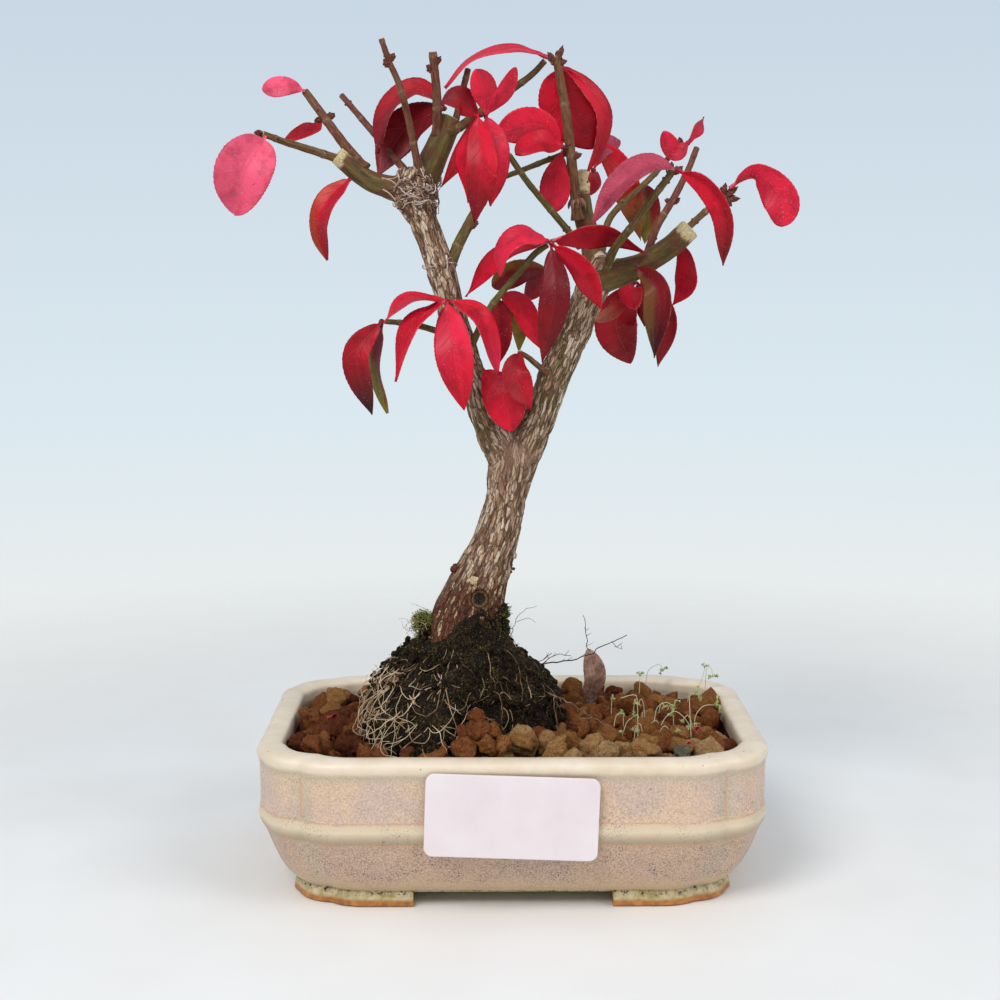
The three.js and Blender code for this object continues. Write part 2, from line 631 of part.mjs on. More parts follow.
// The rings of a leaf joined so that both faces are split alike
function leafLoft(rings) {
  const corners = rings.flat();
  const triangles = [];
  for (let ring = 0; ring < rings.length - 1; ring += 1) {
    const a = ring * 6;
    const b = a + 6;
    const strips = [
      [0, 1, false], [1, 2, true], [3, 4, false], [4, 5, true], [2, 3, false], [5, 0, false],
    ];
    for (const [from, to, flip] of strips) {
      if (flip) {
        triangles.push([a + to, a + from, b + from], [b + to, a + to, b + from]);
      } else {
        triangles.push([a + to, a + from, b + to], [b + to, a + from, b + from]);
      }
    }
  }
  const last = (rings.length - 1) * 6;
  for (const [start, flip] of [[0, true], [last, false]]) {
    for (const [a, b, c] of [[0, 1, 5], [1, 4, 5], [1, 2, 4], [2, 3, 4]]) {
      triangles.push(flip ? [start + a, start + b, start + c] : [start + c, start + b, start + a]);
    }
  }
  return solidFrom(corners, triangles);
}

// Leaves that spring from one point of a twig, held together by the small swelling at their feet
function buildSpray(name, material, hub, leaves) {
  const solids = leaves.map(leaf);
  if (hub) {
    solids.push(solidFromGeometry(new THREE.IcosahedronGeometry(HUB_RADIUS, 0)).translate(hub));
  }
  place(name, mainBody(joinAll(solids).subtract(woodRoom)), MATERIALS[material]);
}

// Every leaf has three to five points of its midrib, from the stalk to the tip
function buildSprays() {
  buildSpray('leaf_far_left_tip', 'pink', null, [
    { path: [[-61, -1, 235], [-66, -4, 236], [-73, -5, 235]], width: 6.4, fold: 10, belly: 1.4 },
  ]);
  buildSpray('leaf_curled_left', 'crimson', null, [
    { path: [[-56, -4, 225], [-60, -9, 222], [-66, -12, 220]], width: 7, turn: 30, fold: 30 },
  ]);
  buildSpray('leaf_big_left', 'pink', null, [
    { path: [[-70, -21.3, 220.3], [-76, -25, 210], [-79, -22, 198]], width: 17, fold: 12 },
  ]);
  buildSpray('leaf_below_stub', 'crimson', null, [
    {
      path: [
        [-46.8, -9, 209.4], [-52.8, -11, 203.8], [-55.4, -12, 198], [-56, -10, 192.5],
        [-54.6, -8, 185.5],
      ],
      width: 9, turn: 35, fold: 20,
    },
  ]);
  buildSpray('leaves_upper_left', 'maroon', [-20, -1, 230], [
    {
      path: [[-20, -1, 231], [-27.5, 2, 235.8], [-34, 3, 233], [-38, 1, 227], [-40, -1, 217]],
      width: 10.5, turn: 45, fold: 20,
    },
    { path: [[-20, -1, 230], [-32, 6, 224.5], [-40.5, 4, 210.5]], width: 13.5, turn: 15 },
  ]);
  buildSpray('leaves_top_cluster', 'crimson', [-9, -14, 227], [
    { path: [[-10, -15, 227], [-9, -22, 212], [-11, -19, 196]], width: 10, fold: -20 },
    { path: [[-10, -13, 227], [-14, -15, 216], [-13, -13, 202]], width: 7, turn: 60 },
    { path: [[-8, -13, 227], [-4.5, -16, 217], [-6.2, -14, 201]], width: 9, turn: -35 },
    { path: [[-10, -13, 227], [-15, -18, 230.5], [-20, -21, 230]], width: 8.5, turn: 10, belly: 1.1 },
    { path: [[-7.5, -14, 227], [-8, -17, 232.5], [-10.2, -20, 239]], width: 8.5, fold: 25, belly: 1.3 },
    { path: [[-7.5, -14, 227], [-2.5, -18, 232.8], [0.8, -20, 239.5]], width: 5, turn: 20, belly: 1.2 },
    { path: [[-10, -14, 227], [-14, -9, 217], [-21, -6, 207]], width: 6, turn: 20 },
  ]);
  buildSpray('leaf_long_arch', 'crimson', null, [
    { path: [[11, 9, 246], [1, 5, 248], [-12, 1, 244], [-20, -2, 236]], width: 8, turn: 60, fold: 12 },
  ]);
  buildSpray('leaves_behind_top', 'crimson', [14, 3, 243], [
    { path: [[14, 3, 243], [16.6, 7, 231.3], [24.6, 8, 219]], width: 17, fold: 8, belly: 0.85 },
    {
      path: [[14, 3, 243], [21, 5, 238], [27, 6, 230], [26.6, 6, 221], [23.2, 5, 212.2]],
      width: 7, turn: -45,
    },
  ]);
  buildSpray('leaves_mid_top', 'crimson', [15, 0, 219], [
    { path: [[15, 1, 220], [7, -3, 225], [-4.7, -4, 222.4]], width: 11, belly: 1.2 },
    { path: [[15, 0, 219], [8, -6, 220], [0.8, -9, 216.6]], width: 8.5, turn: 20, belly: 1.15 },
    { path: [[15, 1, 218], [13.2, 3, 210], [12.7, 3, 200]], width: 9.5, fold: 8, belly: 1.4 },
  ]);
  buildSpray('leaves_behind_right', 'maroon', [25, 12, 213], [
    { path: [[25, 12, 213], [28, 14, 219.5], [33.2, 17, 222.5]], width: 6, belly: 1.6 },
    {
      path: [[25, 12, 213], [28, 14, 218.5], [33, 16, 213.5], [37, 18.6, 203.5], [40.5, 20, 192]],
      width: 8,
    },
    { path: [[25, 12, 213], [25, 17, 211], [25, 22, 206]], width: 6, belly: 1.2 },
  ]);
  buildSpray('leaves_right_top', 'crimson', [46.5, -21.4, 211], [
    {
      path: [[46, -21.5, 211], [38.6, -23, 212.2], [30, -25, 206.3], [22.5, -22, 196]],
      width: 9.5, turn: 30, fold: 28,
    },
    {
      path: [[47, -21.5, 211], [54.8, -24, 206], [59.8, -26, 197], [60, -22, 184]],
      width: 8.8, turn: 50, fold: 20,
    },
  ]);
  buildSpray('leaves_pink_pair', 'pink', [55, 23, 222], [
    { path: [[55, 22, 222], [50.6, 19, 219], [46.6, 17, 225]], width: 6, fold: 8, belly: 1.1 },
    { path: [[55, 23, 222], [57, 22, 225], [60, 23, 230]], width: 5, turn: 50, fold: 20 },
  ]);
  buildSpray('leaf_far_right', 'crimson', null, [
    {
      path: [[66, 8, 207.4], [71.9, 4, 211.6], [76.3, 2, 209.4], [80.5, 0, 202.8], [80.8, 0, 195.6]],
      width: 11, turn: 62, turnTip: 0, fold: 8, belly: 1.8,
    },
  ]);
  buildSpray('leaf_right_low', 'crimson', null, [
    {
      path: [[50.6, -0.6, 191], [52.6, 1, 184], [52.4, 3, 177.5], [48.4, 4, 172]],
      width: 8.5, turn: 42,
    },
  ]);
  buildSpray('leaves_middle_cluster', 'crimson', [11, -19.2, 190.5], [
    {
      path: [[10, -19, 191], [2.5, -23, 192.2], [-2.7, -23, 188], [-4, -22, 181]],
      width: 9.5, turn: 45,
    },
    { path: [[10.5, -19, 191], [-3, -12, 187], [-14, -6, 175]], width: 8, turn: 40 },
    {
      path: [[11, -19, 191], [20.3, -12, 193.7], [29.4, -7, 193.3], [39.5, -3, 187.5]],
      width: 11.5, turn: 58, fold: 30,
    },
    { path: [[11, -19, 190], [12, -26, 176], [8.4, -22, 156.4]], width: 10, fold: -25 },
    { path: [[11.5, -19, 190], [20, -20, 183], [26, -15, 171]], width: 8, turn: 30, fold: 20 },
  ]);
  buildSpray('leaves_back_low', 'maroon', [39, 25, 179], [
    { path: [[39, 26, 179], [34, 34, 166], [39, 34, 153]], width: 14.5, fold: 12, belly: 1.1 },
    { path: [[40, 25, 179], [43, 30, 174], [43, 32, 165]], width: 8, turn: 20 },
    { path: [[38, 24, 179], [37, 18, 177], [38, 13, 171]], width: 7.5, belly: 1.2 },
    { path: [[38, 24, 179], [33, 23, 171], [26.5, 20, 167]], width: 5, belly: 1.1 },
  ]);
  buildSpray('leaves_right_dark', 'maroon', [37, -4.6, 183], [
    { path: [[37, -4.8, 184], [43, -12, 176], [42, -9, 157]], width: 10, turn: 30, fold: 28 },
    { path: [[38, -4.8, 183], [46, -2, 168], [44, -1, 154]], width: 8, turn: 20 },
  ]);
  buildSpray('leaf_olive_behind', 'olive', null, [
    { path: [[41.5, 19, 209.6], [43, 23, 202.5], [42, 23, 191]], width: 8 },
  ]);
  buildSpray('leaves_dark_behind', 'maroon', [12, 14, 183], [
    { path: [[12, 13, 183], [3, 15, 182.4], [-6, 17, 178]], width: 8.5, belly: 1.3 },
    { path: [[12, 14, 183], [8, 20, 178], [4, 24, 173.5]], width: 7, turn: 20 },
  ]);
  buildSpray('leaves_inner_left', 'crimson', [-4, -11, 175], [
    { path: [[-4, -11, 176], [3, -9, 172], [8, -10, 160]], width: 8, turn: 20 },
    { path: [[-3, -10, 175], [2, -1, 168], [2.2, 0, 158]], width: 6 },
    { path: [[-4, -10, 175], [-3.8, -8, 167.5], [-4.6, -8, 154]], width: 8.5 },
  ]);
  buildSpray('leaves_front_cluster', 'crimson', [-19, -19, 174], [
    { path: [[-19, -19, 174], [-17, -28, 160], [-14, -27, 143]], width: 11.5, fold: -15 },
    { path: [[-20, -18, 174], [-29.5, -22, 174.6], [-37, -25, 168]], width: 8, turn: 60 },
    { path: [[-19.5, -19.5, 174], [-29, -25, 167], [-34, -24, 151]], width: 8, turn: 50 },
    { path: [[-18, -19, 174], [-9, -21, 169], [-4, -19, 153]], width: 9, turn: -45 },
  ]);
  buildSpray('leaves_left_pair', 'maroon', [-38, -17, 168], [
    { path: [[-38, -17, 168], [-45, -21, 158], [-41, -19, 141]], width: 9, turn: 15, fold: 20 },
    { path: [[-38, -16, 168], [-40, -16, 155], [-37, -15, 141]], width: 8, turn: 55 },
  ]);
  buildSpray('leaf_fork_low', 'crimson', null, [
    {
      path: [[-8.6, -12.2, 154], [-3, -17, 146.5], [0, -17, 136]],
      width: 12.5, fold: 12, belly: 1.15,
    },
  ]);
  buildSpray('leaf_fork_high', 'crimson', null, [
    { path: [[2, -15, 159], [0.8, -19, 152.5], [5.4, -20, 142.4]], width: 9, turn: -10 },
  ]);
}

// A brown leaf from an earlier year, standing among the granules behind the ball
function buildDryLeaf() {
  const path = [[26, 22, 39], [26, 21.5, 47], [27, 20, 53], [25, 21, 62]];
  const blade = leaf({ path, width: 8, fold: 22 });
  place('dry_leaf', mainBody(blade.subtract(soil.translate([0, 0, GAP]))), MATERIALS.dry);
}

buildPot();
buildScreen('drain_screen_left', -DRAIN_X);
buildScreen('drain_screen_right', DRAIN_X);
buildRootBall();
place('soil', soil, MATERIALS.granules);
place('trunk_and_branches', wood, MATERIALS.bark);
buildCard();
buildDryLeaf();
buildSprays();

export default object;
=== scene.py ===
import math

import bmesh
import bpy
import numpy as np
from mathutils.bvhtree import BVHTree
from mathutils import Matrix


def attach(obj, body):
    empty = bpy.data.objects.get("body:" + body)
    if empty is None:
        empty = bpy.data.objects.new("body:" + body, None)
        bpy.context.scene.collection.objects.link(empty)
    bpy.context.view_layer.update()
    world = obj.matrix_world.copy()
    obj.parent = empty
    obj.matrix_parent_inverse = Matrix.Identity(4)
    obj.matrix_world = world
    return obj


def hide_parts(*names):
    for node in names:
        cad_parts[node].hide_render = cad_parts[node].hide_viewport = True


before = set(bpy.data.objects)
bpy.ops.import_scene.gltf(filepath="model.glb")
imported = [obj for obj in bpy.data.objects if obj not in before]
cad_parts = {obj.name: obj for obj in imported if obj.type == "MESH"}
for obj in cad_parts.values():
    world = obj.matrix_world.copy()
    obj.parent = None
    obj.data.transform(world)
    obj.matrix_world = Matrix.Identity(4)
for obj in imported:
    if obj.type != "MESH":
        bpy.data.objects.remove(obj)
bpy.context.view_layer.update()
bpy.context.scene.view_settings.view_transform = "Standard"

# A dwarf burning bush bonsai in its pot. Sizes and places are in millimetres, in the frame of
# the solids: +Z up, the front faces -Y. Meshes are scaled to metres when they are made.

MM = 0.001
SEED = 7

# Size of the cells from which the thick wood is rebuilt as one skin
VOXEL = 0.44

# Camera of the photo: place in metres, turn and tilt in degrees
CAMERA_PLACE, CAMERA_TURN, CAMERA_TILT = (-0.0072, -0.4883, 0.1808), -0.43, 7.87
CAMERA_LENS, CAMERA_SENSOR = 58.1, 36

# Soft lights: place, size in metres and power, and the point they all aim at
LAMPS = [((-0.5, -0.75, 0.95), 0.6, 8), ((0.7, -0.5, 0.7), 0.6, 3)]
LAMP_AIM = (0, 0, 0.12)

# Backdrop: slopes of sight between which its colours run, the colours, and how strongly it lights
SKY_SLOPES = (-0.3, 0.2)
SKY_COLOURS = ((0.0, "f1efea"), (0.12, "efefeb"), (0.42, "dce9f0"), (0.95, "c8d6e4"))
SKY_LIGHT = 0.74

# Floor: radii of its rings, corners of a ring, and the distances in metres between which it fades
FLOOR_RINGS, FLOOR_CORNERS = (1, 40, 100, 200, 300, 420, 560), 96
FLOOR_FADE = (0.17, 0.54)

# Pot, as in the solids: lengths and heights, then its plan from the straight parts to the crease
# and the corner behind it
POT_LENGTH, POT_WIDTH, POT_WALL = 150, 103, 7.5
POT_BOTTOM, POT_FLOOR = 4.5, 9.5
FRONT_STRAIGHT, SIDE_STRAIGHT = 50, 30
CREASE = (61, 47.2)
CORNER = (73.2, 36)

# Profile of the wall as pairs of height and inset, up the outside and down the inside
POT_OUTSIDE = [
    (4.5, 10.8), (5.2, 9.9), (6, 8.8), (8, 7.4), (11, 5.8), (15, 4.2), (18.5, 3), (21, 2.3),
    (22.6, 1.3), (24, 0.7), (25.8, 0.4), (27.2, 0.5), (28, 1.1), (36, 1.1), (41.5, 1), (42.5, 0.6),
    (43.4, 0.15), (44.6, 0), (45.6, 0.5), (46.4, 3.5),
]
POT_INSIDE = [(45.8, 7.6), (40, 7.2), (14, 10), (10.2, 13.6), (9.5, 15)]

# Highest sum of the shares of length and width at which a point is still inside the cut corners
CORNER_CUT = 1.66

# Belt round the wall, drain holes, and the gaps and insets of the feet
BELT_LOW, BELT_HIGH = 21.6, 27.8
DRAIN_X, DRAIN_RADIUS = 30, 6
FOOT_GAP_X, FOOT_GAP_Y = 29, 17
FOOT_INSET, FOOT_BASE_INSET, FOOT_INNER_INSET = 10.4, 9.8, 19

# Bed of granules: height at the edge, rise at the root ball, and how far the rise reaches
SOIL_EDGE, SOIL_RISE, SOIL_REACH = 40.5, 6, (55, 38)

# Granules: distance apart, sizes and the share of each, and how far layers lie below the surface
GRANULE_PITCH = 7.4
GRANULE_SIZES = (2.0, 2.6, 3.2, 3.8, 4.4, 5.0)
GRANULE_SHARES = (0.14, 0.22, 0.26, 0.2, 0.12, 0.06)
GRANULE_LAYERS = (4.2, 0.2)
CRUMBS = 420

# Root ball: middle, radii at some heights, and its clods, roots and tufts of moss
BALL_X, BALL_Y = -18, -10
BALL_HEIGHTS = [15, 26, 40, 48, 56, 64, 70, 75]
BALL_RADII = [20, 24, 26, 26.5, 25.5, 21.5, 17.5, 13]
BALL_TOP, BALL_SIDES, BALL_CLEAR = 76, 270, 23
BALL_CLODS, MOUND_CLODS, TRUNK_CLODS = 760, 46, 230
FRONT_ROOTS, SHORT_ROOTS, LOOSE_HAIRS, MOUND_HAIRS = 30, 110, 5, 16
BALL_TUFTS, MOUND_TUFTS, TRUNK_TUFTS = 110, 64, 30

# Card, bare of its print
CARD_WIDTH, CARD_HEIGHT, CARD_THICK, CARD_CORNER = 49, 24, 0.8, 2.5
CARD_X, CARD_Z, CARD_TILT = -0.6, 30.6, -2

# Wood: points and radii of each thick stem, and how old its bark is, from 0 to 1
THICK_STEMS = [
    ([(-15, -8, 50), (-14, -8, 63), (-13, -8, 77), (-11, -9, 87), (-5, -9, 102), (-2, -8, 114),
      (0, -8, 127)], [13, 14, 11.8, 8.9, 6.6, 6, 7], 1),
    ([(0, -8, 124), (-7, -9, 137), (-10, -9, 145), (-17, -8, 168), (-21, -7, 183), (-26, -6, 197),
      (-29, -6, 205), (-29, -5, 212)], [6.2, 4.7, 4.2, 4, 3.9, 4.3, 6.4, 4.4], 1),
    ([(0, -8, 123), (7, -6, 137), (11, -5, 147), (19, -1, 165), (24, 2, 177), (28, 3, 184)],
     [6.4, 5.1, 4.9, 4.9, 5, 4.9], 1),
    ([(-27, -6, 205), (-37, -7, 207), (-44, -8, 210), (-51, -10, 216)], [4.6, 3.3, 2.9, 2.6], 0.3),
    ([(-28, -5, 205), (-22, -3, 218), (-18, -1, 227)], [4.6, 3.8, 3.4], 0.3),
    ([(26, 2, 180), (24, 8, 192), (22, 9, 199), (21, 9, 206)], [4.4, 3.3, 3, 2.9], 0.4),
    ([(26, 2, 180), (38, 1, 184), (47, -1, 189.5), (53, -3, 195)], [4.8, 3.6, 3.2, 3.3], 0.3),
]

# Twigs: points, first and last radius, and how olive they are, from 0 to 1
TWIGS = [
    ([(-48, -9, 214), (-58, -13, 217), (-65, -16, 219), (-71, -20, 221)], 1.3, 0.9, 0.5),
    ([(-43, -8, 212), (-49, -6, 219), (-55, -3, 227), (-61, 0, 235)], 1.6, 1.1, 0.1),
    ([(-30, -3, 210), (-40, 10, 222), (-52, 20, 236)], 1.2, 0.9, 0),
    ([(-27, -7, 209), (-29, -12, 221), (-32, -17, 234), (-35, -20, 241), (-37, -22, 247)], 1.2, 0.8,
     0.1),
    ([(-22, -4, 222), (-22, -7, 233), (-23, -10, 245)], 1.5, 1.2, 0.05),
    ([(-18, -4, 223), (-13, -9, 225), (-10, -12, 227)], 1.3, 1, 0.5),
    ([(-17, 0, 225), (-15, 3, 234), (-13, 5, 242)], 1.1, 0.9, 0.1),
    ([(-17, 1, 224), (-9, 6, 230), (-2, 9, 235), (6, 10, 241), (10, 9, 245)], 1.2, 0.9, 0.5),
    ([(22, 9, 202), (22, 11, 208), (22, 11, 213)], 1.8, 1.7, 0.5),
    ([(20, 6, 198), (18, 3, 214), (16, 1, 229), (13, 0, 245)], 1.7, 1.25, 0.25),
    ([(21, 6, 190), (13, 1, 199), (5, -4, 208), (-1, -8, 216)], 1.1, 0.9, 0.9),
    ([(18, 3, 218), (9, 8, 215), (-2, 13, 211)], 0.9, 0.8, 0.8),
    ([(27, 5, 184), (29, 10, 196), (33, 13, 202), (43, 18, 211), (53, 24, 222)], 1.1, 0.85, 0.6),
    ([(28, 0, 182), (30, -9, 189), (36, -14, 197), (40, -17, 203), (46, -19, 211)], 1.4, 1, 0.8),
    ([(40, 1, 186), (44, 5, 196), (49, 9, 204), (54, 14, 213), (57, 17, 220)], 1.2, 0.95, 0),
    ([(50, -1, 193), (58, 4, 200), (65, 9, 205)], 1.1, 0.95, 0.4),
    ([(35, 2, 182), (38, 14, 182), (39, 23, 180)], 1.1, 0.9, 0.5),
    ([(-14, -9, 156), (-7, -12, 171), (1, -14, 181), (6, -16, 187), (10, -17, 190)], 1.1, 0.9, 1),
    ([(-19, -8, 164), (-29, -13, 167), (-37, -16, 168)], 1, 0.8, 0.6),
    ([(-18, -8, 171), (-19, -17, 174)], 1.1, 0.9, 0.5),
    ([(-19, -7, 182), (-16, -5, 190), (-11.5, -4, 198.5), (-8.3, -3, 204)], 1.75, 1.5, 0.8),
    ([(12, -7, 151), (5, -11, 157), (2, -14, 159)], 1, 0.7, 0.3),
    ([(19, 2, 167), (16, 9, 176), (12, 13, 182)], 1, 0.8, 0.4),
]

# Winter buds: foot point, and the way and length they grow
BUDS = [
    ((-35, -20, 240), (-1.6, 0, 1.8)), ((-35, -20, 241), (1.6, 0, 2.4)),
    ((-23, -9, 240), (-2, 0, 1.4)), ((-23, -9, 241), (2.4, 0, 3)),
    ((13, 0, 243), (-2.6, 0, 3.4)), ((13, 0, 243), (2, 0, 5.4)), ((13, 0, 243), (3.4, 1, 1)),
    ((17, 2, 218), (-2.2, 0, 1.2)), ((18, 2, 216), (3, 0, 1.2)),
    ((45, -18, 210), (0.5, 0, 3.6)), ((46, -19, 210), (2.6, 0, 2.2)),
    ((49, 9, 203), (-2.6, 0, 1)), ((49, 10, 203), (2.4, 0, 1.6)),
    ((64, 9, 205), (1, 0, 4.2)), ((65, 9, 205), (3.8, 0, 3)), ((65, 9, 204), (4.6, 0, 0.4)),
    ((65, 9, 204), (2, 0, -2)), ((53, 24, 221), (-0.6, 0, 3)), ((-71, -20, 221), (-2.6, 0, 0.4)),
    ((-56, -3, 227), (-2.2, 0, -1.6)), ((-54, -3, 227), (2, 0, 1.4)),
    ((-12.6, -4.4, 195), (2.6, -1, 2.2)),
]

# Collars of bark shreds: middle, axis, reach of the search, spread along the axis, and how many
COLLARS = [
    ((-29, -6, 205.5), (0.1, 0, 1), 11, 2.4, 240),
    ((-21.5, -7, 184), (0.25, 0, -1), 8, 0.5, 22),
]

# Pointed scales round the foot of the tallest twig: their middle and number
SCALES_MIDDLE, SCALES = (19.6, 5.4, 204), 16

# Knobs of bark: middle, size and kind
LUMPS = [
    ((-16.9, -10.8, 93.5), 1.6, "dark"), ((-0.2, -9, 97.6), 1.5, "bark"),
    ((-0.4, -9.5, 93.8), 0.9, "dark"), ((-11.6, -17.2, 91.6), 1.7, "chip"),
]

# Ridge, pale wood and dark scale of each kind of knob
LUMP_KINDS = {"dark": (0, 0, 0.9), "bark": (1, 0, 0), "chip": (1, 0.9, 0)}

# Burrs where stems part: middle, spread and amount
BURRS = [
    ((-22, -7, 184), 4.5, 0.3), ((-28, -8, 205), 6, 0.5), ((29, 0, 187), 5, 0.35),
    ((-11, -9, 93), 7, 0.3),
]

# Shift of the grain from one stem to the next, so that no two look alike
GRAIN_SHIFT = np.array((3.1, 5.7, 40))

# Leaf colours: lit face and underside
LEAF_COLOURS = {
    "pink": ("ee5574", "d67a8c"), "crimson": ("cb0c29", "b82c40"), "bright": ("d91e3c", "c8405a"),
    "deep": ("a60b1c", "941c28"), "dark": ("7c0a14", "74121c"), "maroon": ("80161c", "7c2a2e"),
    "dusky": ("40141a", "5c2c2c"), "rose": ("b23e54", "b0707c"), "pale": ("b4664e", "b08068"),
    "olive": ("86792a", "8c8040"),
}


def blade(colour, width, points, turn=0, turn_tip=None, fold=15, belly=0.95, olive=0, tip=None,
          blunt=0):
    """One leaf: colour, width, points of the midrib, roll at stalk and tip, lift of both halves.

    A belly above 1 puts the widest place nearer the tip, and blunt rounds the tip.
    Tip is the colour at the tip. Olive is its share towards the tip, or below 0 along one edge.
    """
    return {"colour": colour, "tip": tip or colour, "width": width, "points": points, "turn": turn,
            "turn_tip": turn if turn_tip is None else turn_tip, "fold": fold, "belly": belly,
            "olive": olive, "blunt": blunt}


